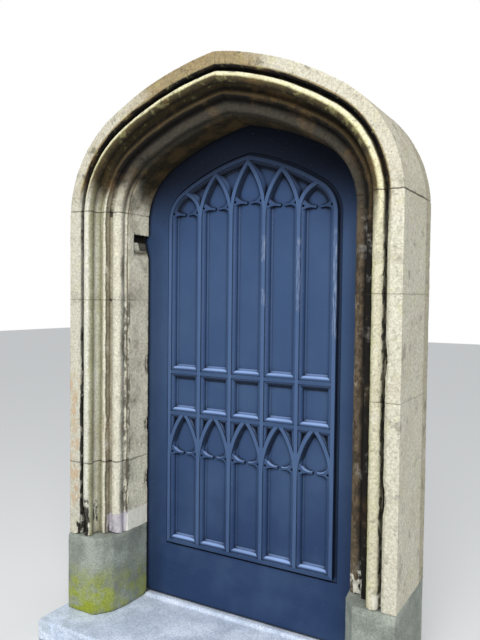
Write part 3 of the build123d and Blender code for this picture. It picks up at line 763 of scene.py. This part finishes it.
    def _crusted(self, graph: Graph, place: Socket, found: Outputs, colour: Socket) -> Socket:
        """Give the stone its grain and the black crust of its hollows.

        Args:
            graph: graph of the material
            place: object coordinates
            found: outputs of the place group
            colour: colour of the patched stone

        Returns:
            The colour with grain and crust.
        """
        colour = graph.shaded(colour, graph.fade(graph.noise(place, self.grain), self.grain_shade))
        hollow = graph.fade(graph.sky_share(self.hollow_reach, 6), self.hollow_shade)
        spots = graph.patches(place, self.crust_spots)
        overhead = graph.sum("MULTIPLY", found["Arch"], self.crust_overhead)
        rightward = graph.sum("MULTIPLY", found["Right"], self.crust_right)
        dirty = graph.sum("MAXIMUM", overhead, rightward)
        dirty = graph.sum("MAXIMUM", dirty, self.crust_least)
        spots = graph.sum("MULTIPLY", spots, dirty)
        hollow = graph.sum("MULTIPLY", hollow, self.crust_in_hollow)
        return graph.mix(graph.sum("MAXIMUM", spots, hollow), colour, self.crust)

    def _marked(self, graph: Graph, place: Socket, colour: Socket) -> Socket:
        """Lay the marked places over the stone.

        Args:
            graph: graph of the material
            place: object coordinates
            colour: colour of the stone

        Returns:
            The colour with the marks.
        """
        values = {"Vector": place, "Scale": self.mark_noise, "Detail": 4.0}
        drift = graph.add("ShaderNodeTexNoise", values).outputs["Color"]
        values = {0: drift, 1: (0.5, 0.5, 0.5)}
        shift = graph.add("ShaderNodeVectorMath", values, operation="SUBTRACT").outputs[0]
        values = {0: shift, 1: (self.mark_wander,) * 3, 2: place}
        moved = graph.add("ShaderNodeVectorMath", values, operation="MULTIPLY_ADD").outputs[0]
        axes = graph.split(moved)
        torn = graph.patches(graph.stretched(place, self.torn_stretch), self.torn_spots)
        for mark in self.marks:
            colour = graph.mix(graph.marked(axes, mark, torn), colour, mark.colour)
        return colour


@dataclass(frozen=True)
class GreyStone:
    """Grey stone near the ground, damp low down and green on its left where moss holds."""

    name: str
    ground: Colour
    pale: Colour
    moss: Colour
    moss_share: float
    damp_top: float
    damp: Colour = tone(96, 100, 94)
    dirt_and_shade: Colour = tone(34, 34, 32)
    mottle: Spots = Spots(7.0, 0.36, 0.66, 6.0)
    damp_edge: Cloud = Cloud(6.0)
    damp_wander: float = 0.16
    damp_above: float = 0.10
    damp_below: float = 0.02
    damp_share: float = 0.30
    moss_spots: Spots = Spots(11.0, 0.40, 0.60, 6.0)
    moss_leftward: Fade = Fade(0.45, 0.60)
    moss_low: Fade = Fade(0.34, 0.17)
    bloom_spots: Spots = Spots(9.0, 0.50, 0.66, 7.0)
    bloom_low: Fade = Fade(0.26, 0.12, 0.10, 0.55)
    grit: Cloud = Cloud(150.0, 5.0, 0.75)
    grit_shade: Fade = Fade(0.35, 0.65, 0.74, 1.20)
    hollow_reach: float = 0.04
    hollow_shade: Fade = Fade(0.6, 0.2, 0.0, 0.75)
    pit_depth: float = 0.0020

    def build(self, effects: Effects) -> bpy.types.Material:
        """Make the material.

        Args:
            effects: shared node groups

        Returns:
            The material.
        """
        material, graph, shader = open_material(self.name, Roughness=0.9, Specular_IOR_Level=0.3)
        place = graph.add("ShaderNodeTexCoord").outputs["Object"]
        axes = graph.split(place)
        colour = graph.mix(graph.patches(place, self.mottle), self.ground, self.pale)
        damp = graph.noise(place, self.damp_edge)
        damp = graph.sum("MULTIPLY_ADD", damp, self.damp_wander, axes[2])
        dries = Fade(self.damp_top + self.damp_above, self.damp_top - self.damp_below)
        damp = graph.sum("MULTIPLY", graph.fade(damp, dries), self.damp_share)
        colour = graph.mix(damp, colour, self.damp)
        leftward = graph.sum("MULTIPLY", axes[0], -1.0)
        moss = graph.sum("MULTIPLY", graph.patches(place, self.moss_spots), self.moss_share)
        moss = graph.sum("MULTIPLY", moss, graph.fade(leftward, self.moss_leftward))
        moss = graph.sum("MULTIPLY", moss, graph.fade(axes[2], self.moss_low))
        colour = graph.mix(moss, colour, self.moss)
        bloom = graph.patches(place, self.bloom_spots)
        bloom = graph.sum("MULTIPLY", bloom, graph.fade(axes[2], self.bloom_low))
        colour = graph.mix(bloom, colour, self.pale)
        colour = graph.shaded(colour, graph.fade(graph.noise(place, self.grit), self.grit_shade))
        # Painted shade, with some dirt, in the hollows.
        hollow = graph.fade(graph.sky_share(self.hollow_reach, 6), self.hollow_shade)
        graph.feed(shader.inputs["Base Color"], graph.mix(hollow, colour, self.dirt_and_shade))
        pits = effects.use(graph, effects.pitting, Place=place, Depth=self.pit_depth)
        graph.feed(shader.inputs["Normal"], graph.bump(pits["Height"], 1.0, 0.9))
        return material


@dataclass(frozen=True)
class Paint:
    """Old blue oil paint on oak: brush marks, light streaks, dust, painted sheen, highlight and
    shade.
    """

    grain: Grain
    deep: Colour = tone(30, 50, 84)
    main: Colour = tone(50, 71, 104)
    faded: Colour = tone(62, 83, 113)
    painted_highlight: Colour = tone(92, 116, 155)
    dust_and_sheen: Colour = tone(156, 184, 234)
    dirt_and_shade: Colour = tone(13, 17, 27)
    pale_fleck: Colour = tone(186, 194, 206)
    light_streaks: tuple[Mark, ...] = (
        # Light streaks along the mullions, and one pale spot low on the leaf.
        Mark((0.080, -0.04, 1.708), (0.010, 0.03, 0.060), pale_fleck, 0.34, True),
        Mark((0.080, -0.04, 1.503), (0.009, 0.03, 0.040), pale_fleck, 0.24, True),
        Mark((0.241, -0.04, 1.600), (0.010, 0.03, 0.160), pale_fleck, 0.24, True),
        Mark((0.401, -0.04, 1.560), (0.010, 0.03, 0.230), pale_fleck, 0.30, True),
        Mark((0.160, -0.04, 0.690), (0.010, 0.03, 0.030), pale_fleck, 0.24, True),
    )
    stroke_across: float = 60.0
    stroke_along: float = 2.4
    stroke_noise: Cloud = Cloud(3.0, 4.0, 0.6)
    stroke_share: Fade = Fade(0.35, 0.70, 0.0, 0.22)
    fading: Cloud = Cloud(3.2, 3.0)
    fading_share: Fade = Fade(0.40, 0.68, 0.0, 0.55)
    painted_foot_shade: Fade = Fade(0.25, 1.25)
    painted_head_shade: Fade = Fade(1.62, 1.92, 0.0, 0.55)
    painted_side_shade: Fade = Fade(0.96, 0.60, 0.0, 0.45)
    painted_under_shade: Fade = Fade(-0.04, -0.30, 0.0, 0.90)
    fillet_back: float = -0.0218
    fillet_front: float = -0.0232
    fillet_least: float = 0.10
    fillet_upright: float = 0.44
    fillet_level: float = 0.14
    fillet_strokes: Fade = Fade(0.30, 0.65, 0.70, 1.0)
    dust_and_sheen_share: Fade = Fade(0.2, 0.7, 0.50, 0.90)
    dust_and_sheen_slope: Fade = Fade(0.15, 0.75)
    dust_and_sheen_height: Fade = Fade(1.66, 1.74, 1.0, 0.25)
    corner_reach: float = 0.028
    corner_share: Fade = Fade(0.88, 0.50, 0.0, 0.97)
    rim_shadow_share: Fade = Fade(0.405, 0.50, 0.0, 0.30)
    arch_shadow_share: Fade = Fade(0.26, 0.45)
    arch_shadow_most: float = 0.95
    specks: Spots = Spots(210.0, 0.70, 0.74, 2.0)
    speck_share: float = 0.35
    torn_stretch: Triple = (1.0, 1.0, 0.10)
    torn_spots: Spots = Spots(210.0, 0.44, 0.62, 5.0)
    least_rough: float = 0.34
    faded_rough: float = 0.22
    dirty_rough: float = 0.45
    peel: Cloud = Cloud(260.0, 2.0)
    peel_height: float = 0.25
    brush_depth: float = 0.0009
    brush_strength: float = 0.7
    edge_radius: float = 0.0012

    def build(self, effects: Effects) -> bpy.types.Material:
        """Make the material.

        Args:
            effects: shared node groups

        Returns:
            The material.
        """
        name = f"painted_oak_{self.grain.value}"
        material, graph, shader = open_material(name, Specular_IOR_Level=0.12)
        texture = graph.add("ShaderNodeTexCoord")
        place = texture.outputs["Object"]
        axes = graph.split(place)
        stretch = (self.stroke_across, self.stroke_across, self.stroke_along)
        if self.grain is Grain.LEVEL:
            stretch = stretch[::-1]
        strokes = graph.noise(graph.stretched(place, stretch), self.stroke_noise)
        clouds = graph.noise(place, self.fading)
        colour = self._coat(graph, axes, strokes, clouds)
        facing = graph.split(texture.outputs["Normal"])
        colour = self._painted_turn_shade(graph, facing, colour)
        colour = self._painted_front_highlight(graph, axes, strokes, colour)
        colour = self._lay_dust_and_sheen(graph, axes, facing, clouds, colour)
        # Painted shade, with some dirt, in the corners and at the feet of the mouldings.
        corner = graph.sky_share(self.corner_reach, 8)
        grime_and_shade = graph.fade(corner, self.corner_share)
        colour = graph.mix(grime_and_shade, colour, self.dirt_and_shade)
        # Painted shadow near the stone and under the arch.
        found = effects.use(graph, effects.place, Place=place)
        painted_shadow = self._painted_rim_and_arch_shadow(graph, found)
        colour = graph.mix(painted_shadow, colour, self.dirt_and_shade)
        graph.feed(shader.inputs["Base Color"], self._chipped(graph, place, axes, colour))
        rough = graph.sum("MULTIPLY_ADD", clouds, self.faded_rough, self.least_rough)
        dull = graph.sum("MAXIMUM", grime_and_shade, painted_shadow)
        rough = graph.sum("MULTIPLY_ADD", dull, self.dirty_rough, rough)
        graph.feed(shader.inputs["Roughness"], rough)
        height = graph.sum("MULTIPLY_ADD", graph.noise(place, self.peel), self.peel_height, strokes)
        normal = graph.bump(height, self.brush_depth, self.brush_strength, self.edge_radius)
        graph.feed(shader.inputs["Normal"], normal)
        return material

    def _coat(self, graph: Graph, axes: Outputs, strokes: Socket, clouds: Socket) -> Socket:
        """Lay the coats of blue, with painted shade towards the foot and at the head.

        Args:
            graph: graph of the material
            axes: X, Y and Z of the place
            strokes: noise drawn out along the grain
            clouds: slow noise of the fading

        Returns:
            The colour of the paint.
        """
        # Painted shade: the paint is darker towards the foot.
        colour = graph.mix(graph.fade(axes[2], self.painted_foot_shade), self.deep, self.main)
        colour = graph.mix(graph.fade(clouds, self.fading_share), colour, self.faded)
        colour = graph.mix(graph.fade(strokes, self.stroke_share), colour, self.deep)
        # Painted shadow of the arch over the head of the leaf.
        return graph.mix(graph.fade(axes[2], self.painted_head_shade), colour, self.deep)

    def _painted_turn_shade(self, graph: Graph, facing: Outputs, colour: Socket) -> Socket:
        """Paint shade on the faces that turn sideways or down.

        Args:
            graph: graph of the material
            facing: X, Y and Z of the direction that the face looks in
            colour: colour of the paint

        Returns:
            The darkened colour.
        """
        # Painted shade on sideways faces, and deeper painted shade on faces that look down.
        side = graph.fade(graph.sum("ABSOLUTE", facing[1]), self.painted_side_shade)
        colour = graph.mix(side, colour, self.deep)
        return graph.mix(graph.fade(facing[2], self.painted_under_shade), colour, self.dirt_and_shade)

    def _painted_front_highlight(self, graph: Graph, axes: Outputs, strokes: Socket, colour: Socket) -> Socket:
        """Paint a highlight on the front of the bars, broken up by the brush marks.

        Args:
            graph: graph of the material
            axes: X, Y and Z of the place
            strokes: noise drawn out along the grain
            colour: colour of the paint

        Returns:
            The lightened colour.
        """
        most = self.fillet_upright if self.grain is Grain.UPRIGHT else self.fillet_level
        front = Fade(self.fillet_back, self.fillet_front, self.fillet_least, most)
        broken = graph.fade(strokes, self.fillet_strokes)
        share = graph.sum("MULTIPLY", graph.fade(axes[1], front), broken)
        return graph.mix(share, colour, self.painted_highlight)

    def _lay_dust_and_sheen(
        self,
        graph: Graph,
        axes: Outputs,
        facing: Outputs,
        clouds: Socket,
        colour: Socket,
    ) -> Socket:
        """Lay dust and a painted sky sheen on the slopes that face up.

        Args:
            graph: graph of the material
            axes: X, Y and Z of the place
            facing: X, Y and Z of the direction that the face looks in
            clouds: slow noise of the fading
            colour: colour of the paint

        Returns:
            The colour with dust and painted sheen.
        """
        dust_and_sheen = graph.fade(clouds, self.dust_and_sheen_share)
        dust_and_sheen = graph.sum("MULTIPLY", graph.fade(facing[2], self.dust_and_sheen_slope), dust_and_sheen)
        dust_and_sheen = graph.sum("MULTIPLY", graph.fade(axes[2], self.dust_and_sheen_height), dust_and_sheen)
        return graph.mix(dust_and_sheen, colour, self.dust_and_sheen)

    def _painted_rim_and_arch_shadow(self, graph: Graph, found: Outputs) -> Socket:
        """Mask of the painted shadow near the stone and under the arch.

        Args:
            graph: graph of the material
            found: outputs of the place group

        Returns:
            A mask from 0 to 1.
        """
        rim = graph.fade(found["Half"], self.rim_shadow_share)
        head = graph.sum("MULTIPLY", graph.fade(found["Half"], self.arch_shadow_share), found["Arch"])
        return graph.sum("MAXIMUM", rim, graph.sum("MULTIPLY", head, self.arch_shadow_most))

    def _chipped(self, graph: Graph, place: Socket, axes: Outputs, colour: Socket) -> Socket:
        """Lay small pale specks and the light streaks over the paint.

        Args:
            graph: graph of the material
            place: object coordinates
            axes: X, Y and Z of the place
            colour: colour of the paint

        Returns:
            The colour with its specks and streaks.
        """
        specks = graph.sum("MULTIPLY", graph.patches(place, self.specks), self.speck_share)
        colour = graph.mix(specks, colour, self.pale_fleck)
        torn = graph.patches(graph.stretched(place, self.torn_stretch), self.torn_spots)
        for streak in self.light_streaks if self.grain is Grain.UPRIGHT else ():
            colour = graph.mix(graph.marked(axes, streak, torn), colour, streak.colour)
        return colour


@dataclass(frozen=True)
class Ironwork:
    """Wrought iron under old black paint, with rust at its edges."""

    name: str
    ground: Colour
    rust: Colour = tone(92, 56, 36)
    rust_spots: Spots = Spots(38.0, 0.56, 0.70, 6.0)
    rust_share: float = 0.55
    least_rough: float = 0.40
    rusty_rough: float = 0.35
    metal_share: Fade = Fade(0.0, 1.0, 0.65, 0.0)
    dent_scale: float = 70.0
    grain: Cloud = Cloud(240.0, 3.0)
    grain_height: float = 0.2
    dent_depth: float = 0.0012
    dent_strength: float = 0.6
    edge_radius: float = 0.001

    def build(self) -> bpy.types.Material:
        """Make the material.

        Returns:
            The material.
        """
        material, graph, shader = open_material(self.name, Specular_IOR_Level=0.5)
        place = graph.add("ShaderNodeTexCoord").outputs["Object"]
        rusty = graph.patches(place, self.rust_spots)
        share = graph.sum("MULTIPLY", rusty, self.rust_share)
        graph.feed(shader.inputs["Base Color"], graph.mix(share, self.ground, self.rust))
        rough = graph.sum("MULTIPLY_ADD", rusty, self.rusty_rough, self.least_rough)
        graph.feed(shader.inputs["Roughness"], rough)
        graph.feed(shader.inputs["Metallic"], graph.fade(rusty, self.metal_share))
        values = {"Vector": place, "Scale": self.dent_scale}
        dents = graph.add("ShaderNodeTexVoronoi", values, feature="SMOOTH_F1").outputs["Distance"]
        height = graph.noise(place, self.grain)
        height = graph.sum("MULTIPLY_ADD", height, self.grain_height, dents)
        normal = graph.bump(height, self.dent_depth, self.dent_strength, self.edge_radius)
        graph.feed(shader.inputs["Normal"], normal)
        return material


def deselect_all() -> None:
    """Deselect every object."""
    for other in bpy.context.selected_objects:
        other.select_set(False)


def pick_only(piece: bpy.types.Object) -> None:
    """Select one object and make it active.

    Args:
        piece: object to work on
    """
    deselect_all()
    piece.select_set(True)
    bpy.context.view_layer.objects.active = piece


def dress(piece: bpy.types.Object, material: bpy.types.Material) -> None:
    """Give an object one material.

    Args:
        piece: object to dress
        material: its finish
    """
    piece.data.materials.clear()
    piece.data.materials.append(material)


@dataclass(frozen=True)
class Decay:
    """A place where the stone has crumbled away, in metres."""

    centre: Triple
    reach: float
    depth: float
    drawn_out: float = 1.0

    def touches(self, low: Vector, high: Vector) -> bool:
        """Tell whether the place reaches into a box.

        Args:
            low: lowest corner of the box
            high: highest corner of the box

        Returns:
            True if it does.
        """
        return all(
            bottom - self.reach < middle < top + self.reach
            for bottom, middle, top in zip(low, self.centre, high)
        )


@dataclass
class WeatheredStone:
    """A stone of the doorway, cut sharp and then worn by the weather, in metres."""

    node: str
    voxel: float
    keep: float
    weld: float = 0.00001
    joint_turn: float = 0.75
    rim_steepness: float = 2.2
    piece: bpy.types.Object = field(init=False)

    def __post_init__(self) -> None:
        """Copy the sharp stone."""
        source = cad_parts[self.node]
        self.piece = bpy.data.objects.new(f"worn_{self.node}", source.data.copy())
        bpy.context.scene.collection.objects.link(self.piece)

    def _apply(self, kind: str, **settings: object) -> None:
        """Add a modifier and apply it.

        Args:
            kind: type of the modifier
            settings: its properties
        """
        pick_only(self.piece)
        bpy.ops.object.modifier_add(type=kind)
        modifier = self.piece.modifiers[-1]
        for name, value in settings.items():
            setattr(modifier, name, value)
        bpy.ops.object.modifier_apply(modifier=modifier.name)

    def _eat(self, texture: bpy.types.Texture, depth: float, group: str) -> None:
        """Move a group of points inwards, as deep as a noise says.

        Args:
            texture: noise
            depth: depth where the noise is 1
            group: name of the vertex group
        """
        self._apply(
            "DISPLACE",
            texture=texture,
            texture_coords="GLOBAL",
            mid_level=0.0,
            strength=-depth,
            vertex_group=group,
        )

    def cut(self) -> None:
        """Merge the copied faces into one closed skin of even cells."""
        pick_only(self.piece)
        bpy.ops.object.mode_set(mode="EDIT")
        bpy.ops.mesh.select_all(action="SELECT")
        bpy.ops.mesh.remove_doubles(threshold=self.weld)
        bpy.ops.mesh.normals_make_consistent(inside=False)
        bpy.ops.object.mode_set(mode="OBJECT")
        self._apply("REMESH", mode="VOXEL", voxel_size=self.voxel, use_smooth_shade=True)

    def close_joints(self, line: ArchLine, press: float) -> None:
        """Tell open faces from joint faces, and press the joints shut.

        Args:
            line: arch line of the doorway
            press: how far each joint face moves outwards
        """
        joint, face = [], []
        for vertex in self.piece.data.vertices:
            across = abs(vertex.normal.dot(line.along(vertex.co)))
            (joint if across > self.joint_turn else face).append(vertex.index)
        self.piece.vertex_groups.new(name="face").add(face, 1.0, "REPLACE")
        self.piece.vertex_groups.new(name="joint").add(joint, 1.0, "REPLACE")
        if press > 0:
            self._apply("DISPLACE", mid_level=0.0, strength=press, vertex_group="joint")

    def wear(self, noise: dict[str, bpy.types.Texture], broad: float, fine: float) -> None:
        """Wear the open faces back by a few millimetres.

        Args:
            noise: textures of the broad and the fine wear
            broad: depth of the broad wear
            fine: depth of the fine wear
        """
        self._eat(noise["broad"], broad, "face")
        self._eat(noise["fine"], fine, "face")

    def crumble(self, decay: Decay, texture: bpy.types.Texture) -> None:
        """Eat a hole into the stone.

        Args:
            decay: place and size of the hole
            texture: noise of its floor
        """
        centre = Vector(decay.centre)
        group = self.piece.vertex_groups.new(name="decay")
        for vertex in self.piece.data.vertices:
            offset = vertex.co - centre
            offset.z /= decay.drawn_out
            weight = 1.0 - offset.length / decay.reach
            if weight > 0:
                group.add([vertex.index], min(1.0, weight * self.rim_steepness), "REPLACE")
        self._eat(texture, decay.depth, group.name)
        self.piece.vertex_groups.remove(self.piece.vertex_groups["decay"])

    def settle(self, material: bpy.types.Material) -> int:
        """Thin the faces, dress the stone and put it in place of the sharp one.

        Args:
            material: finish of the stone

        Returns:
            The number of faces.
        """
        self.piece.vertex_groups.clear()
        self._apply("DECIMATE", ratio=self.keep)
        pick_only(self.piece)
        bpy.ops.object.shade_smooth()
        dress(self.piece, material)
        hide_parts(self.node)
        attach(self.piece, "frame")
        return len(self.piece.data.polygons)


@dataclass(frozen=True)
class StoneDoorway:
    """The moulded stone doorway with its plinths and its step."""

    line: ArchLine
    voxel: float = 0.0034
    keep: float = 0.30
    press: float = 0.0004
    broad_wear: float = 0.0022
    fine_wear: float = 0.0020
    ground_voxel: float = 0.006
    ground_keep: float = 0.5
    decays: tuple[Decay, ...] = (
        # Foot of the left shaft.
        Decay((-0.668, -0.290, 0.475), 0.034, 0.030, 1.9),
        Decay((-0.660, -0.290, 0.545), 0.022, 0.016, 1.6),
        Decay((-0.700, -0.299, 0.445), 0.026, 0.014, 1.0),
        # Edges of the left reveal and roll.
        Decay((-0.534, -0.012, 0.640), 0.024, 0.009, 2.0),
        Decay((-0.534, -0.012, 0.900), 0.026, 0.010, 1.6),
        Decay((-0.534, -0.012, 1.180), 0.022, 0.008, 2.4),
        Decay((-0.545, -0.156, 0.640), 0.018, 0.008, 1.8),
        Decay((-0.545, -0.156, 1.050), 0.018, 0.008, 2.6),
        # Single places on the rolls, beads and shafts of both jambs.
        Decay((0.571, -0.208, 0.450), 0.030, 0.012, 1.0),
        Decay((-0.571, -0.200, 0.45), 0.035, 0.010, 1.2),
        Decay((-0.612, -0.225, 0.93), 0.030, 0.010, 1.6),
        Decay((0.700, -0.299, 0.82), 0.030, 0.012, 2.2),
        Decay((0.695, -0.299, 1.30), 0.026, 0.010, 2.6),
        Decay((0.571, -0.208, 0.62), 0.030, 0.009, 2.0),
        Decay((0.655, -0.297, 1.62), 0.028, 0.010, 1.6),
        Decay((-0.694, -0.299, 1.20), 0.022, 0.008, 2.4),
    )
    noises: tuple[tuple[str, float, int], ...] = (
        ("broad", 0.09, 2),
        ("fine", 0.016, 3),
        ("floor", 0.014, 4),
    )

    def textures(self) -> dict[str, bpy.types.Texture]:
        """Noise that the wear follows.

        Returns:
            The textures by name.
        """
        found = {}
        for name, size, layers in self.noises:
            texture = bpy.data.textures.new(f"wear_{name}", "CLOUDS")
            texture.noise_scale = size
            texture.noise_depth = layers
            found[name] = texture
        return found

    def build(
        self,
        stone: bpy.types.Material,
        plinth: bpy.types.Material,
        step: bpy.types.Material,
    ) -> None:
        """Wear every stone and put it in place.

        Args:
            stone: finish of the moulded stones
            plinth: finish of the plinths
            step: finish of the step
        """
        noise = self.textures()
        for node in sorted(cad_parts):
            if node.startswith(MOULDED_STONES):
                worn = WeatheredStone(node, self.voxel, self.keep)
                self._weather(worn, noise, stone)
            elif node.startswith(GROUND_STONES):
                worn = WeatheredStone(node, self.ground_voxel, self.ground_keep)
                is_plinth = node.startswith("plinth")
                finish, slot = (plinth, "limestone") if is_plinth else (step, "step_stone")
                self._weather(worn, noise, finish)

    def _weather(
        self,
        worn: WeatheredStone,
        noise: dict[str, bpy.types.Texture],
        material: bpy.types.Material,
    ) -> None:
        """Carry one stone through every step.

        Args:
            worn: stone to weather
            noise: textures of the wear
            material: finish
        """
        worn.cut()
        on_ground = worn.node.startswith(GROUND_STONES)
        worn.close_joints(self.line, 0.0 if on_ground else self.press)
        worn.wear(noise, self.broad_wear, self.fine_wear)
        low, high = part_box(worn.node)
        for decay in self.decays:
            if decay.touches(low, high) and not on_ground:
                worn.crumble(decay, noise["floor"])
        log.info("%s: %d faces", worn.piece.name, worn.settle(material))


@dataclass(frozen=True)
class DoorLeaf:
    """The traceried leaf, its ledges and its ironwork."""

    level_pieces: tuple[str, ...] = ("foot_rail", "tracery_foot", "transom", "ledge")
    iron_pieces: tuple[str, ...] = ("strap", "pintle", "bolt", "pull")

    def dress(
        self,
        upright: bpy.types.Material,
        level: bpy.types.Material,
        iron: bpy.types.Material,
        bright: bpy.types.Material,
    ) -> None:
        """Give every piece of wood and iron its finish.

        Args:
            upright: paint on upright pieces
            level: paint on level pieces
            iron: finish of the ironwork
            bright: finish of the bolt bars
        """
        for node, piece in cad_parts.items():
            if node.startswith(MOULDED_STONES + GROUND_STONES):
                continue
            if node.startswith("bolt_bar"):
                dress(piece, bright)
            elif node.startswith(self.iron_pieces):
                dress(piece, iron)
            elif node.startswith(self.level_pieces):
                dress(piece, level)
            else:
                dress(piece, upright)
            log.info("%s: dressed", node)


@dataclass(frozen=True)
class Studio:
    """Pale floor, soft light and the camera."""

    place: Triple = (1.362944, -2.4368, 1.508432)
    yaw: float = 29.99
    pitch: float = -2.114
    roll: float = 0.647
    lens: float = 36.5625
    sensor: float = 36.0
    floor_size: float = 40.0
    floor: Colour = (0.74, 0.74, 0.73, 1.0)
    sky: Colour = (0.93, 0.96, 1.0, 1.0)
    sky_strength: float = 0.74
    key_power: float = 225.0
    key_size: float = 3.2
    key_place: Triple = (1.7, -4.0, 4.0)
    aim: Triple = (0.0, -0.1, 1.1)

    def camera(self) -> None:
        """Set up the camera at the angle of the photograph, and the plain view transform."""
        data = bpy.data.cameras.new("camera")
        data.sensor_width = self.sensor
        data.sensor_fit = "AUTO"
        data.lens = self.lens
        camera = bpy.data.objects.new("camera", data)
        bpy.context.scene.collection.objects.link(camera)
        turn = Matrix.Rotation(math.radians(self.yaw), 4, "Z")
        tilt = Matrix.Rotation(math.radians(90 + self.pitch), 4, "X")
        lean = Matrix.Rotation(math.radians(self.roll), 4, "Z")
        camera.matrix_world = Matrix.Translation(self.place) @ turn @ tilt @ lean
        bpy.context.scene.camera = camera
        bpy.context.scene.view_settings.view_transform = "Standard"

    def ground(self) -> None:
        """Lay the pale floor under the step."""
        deselect_all()
        bpy.ops.mesh.primitive_plane_add(size=self.floor_size, location=(0.0, 0.0, 0.0))
        floor = bpy.context.object
        floor.name = "floor"
        material, _, shader = open_material("floor", Roughness=0.85, Specular_IOR_Level=0.2)
        shader.inputs["Base Color"].default_value = self.floor
        dress(floor, material)

    def lights(self) -> None:
        """Add the sky and a soft key light from the front, above and to the right."""
        world = bpy.data.worlds.new("sky")
        bpy.context.scene.world = world
        world.use_nodes = True
        graph = Graph(world.node_tree)
        soft = world.node_tree.nodes["Background"]
        soft.inputs["Color"].default_value = self.sky
        soft.inputs["Strength"].default_value = self.sky_strength
        white = graph.add("ShaderNodeBackground", {"Color": (1.0, 1.0, 1.0, 1.0), "Strength": 1.0})
        rays = graph.add("ShaderNodeLightPath").outputs
        mirrored = graph.sum("MAXIMUM", rays["Is Glossy Ray"], rays["Is Transmission Ray"])
        seen = graph.sum("MAXIMUM", rays["Is Camera Ray"], mirrored)
        both = graph.add("ShaderNodeMixShader", {0: seen, 1: soft.outputs[0], 2: white.outputs[0]})
        graph.feed(world.node_tree.nodes["World Output"].inputs["Surface"], both.outputs[0])
        data = bpy.data.lights.new("key", "AREA")
        data.energy = self.key_power
        data.shape = "DISK"
        data.size = self.key_size
        key = bpy.data.objects.new("key", data)
        bpy.context.scene.collection.objects.link(key)
        key.location = self.key_place
        look = Vector(self.aim) - Vector(self.key_place)
        key.rotation_euler = look.to_track_quat("-Z", "Y").to_euler()


def main() -> None:
    """Build the doorway piece by piece and set it up for its picture."""
    logging.basicConfig(level=logging.INFO, format="%(name)s: %(message)s")
    studio = Studio()
    studio.camera()
    studio.ground()
    studio.lights()
    line = ArchLine()
    effects = Effects(line)
    limestone = Limestone().build(effects)
    plinth = GreyStone(
        name="plinth_stone",
        ground=tone(122, 128, 119),
        pale=tone(156, 162, 152),
        moss=tone(148, 158, 40),
        moss_share=0.95,
        damp_top=0.12,
    ).build(effects)
    step = GreyStone(
        name="step_stone",
        ground=tone(190, 202, 220),
        pale=tone(224, 234, 250),
        moss=tone(138, 148, 118),
        moss_share=0.20,
        damp_top=-0.05,
    ).build(effects)
    StoneDoorway(line).build(limestone, plinth, step)
    DoorLeaf().dress(
        Paint(Grain.UPRIGHT).build(effects),
        Paint(Grain.LEVEL).build(effects),
        Ironwork("black_iron", tone(26, 26, 28)).build(),
        Ironwork("worn_iron", tone(70, 68, 66)).build(),
    )
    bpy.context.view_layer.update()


if __name__ == "__main__":
    main()
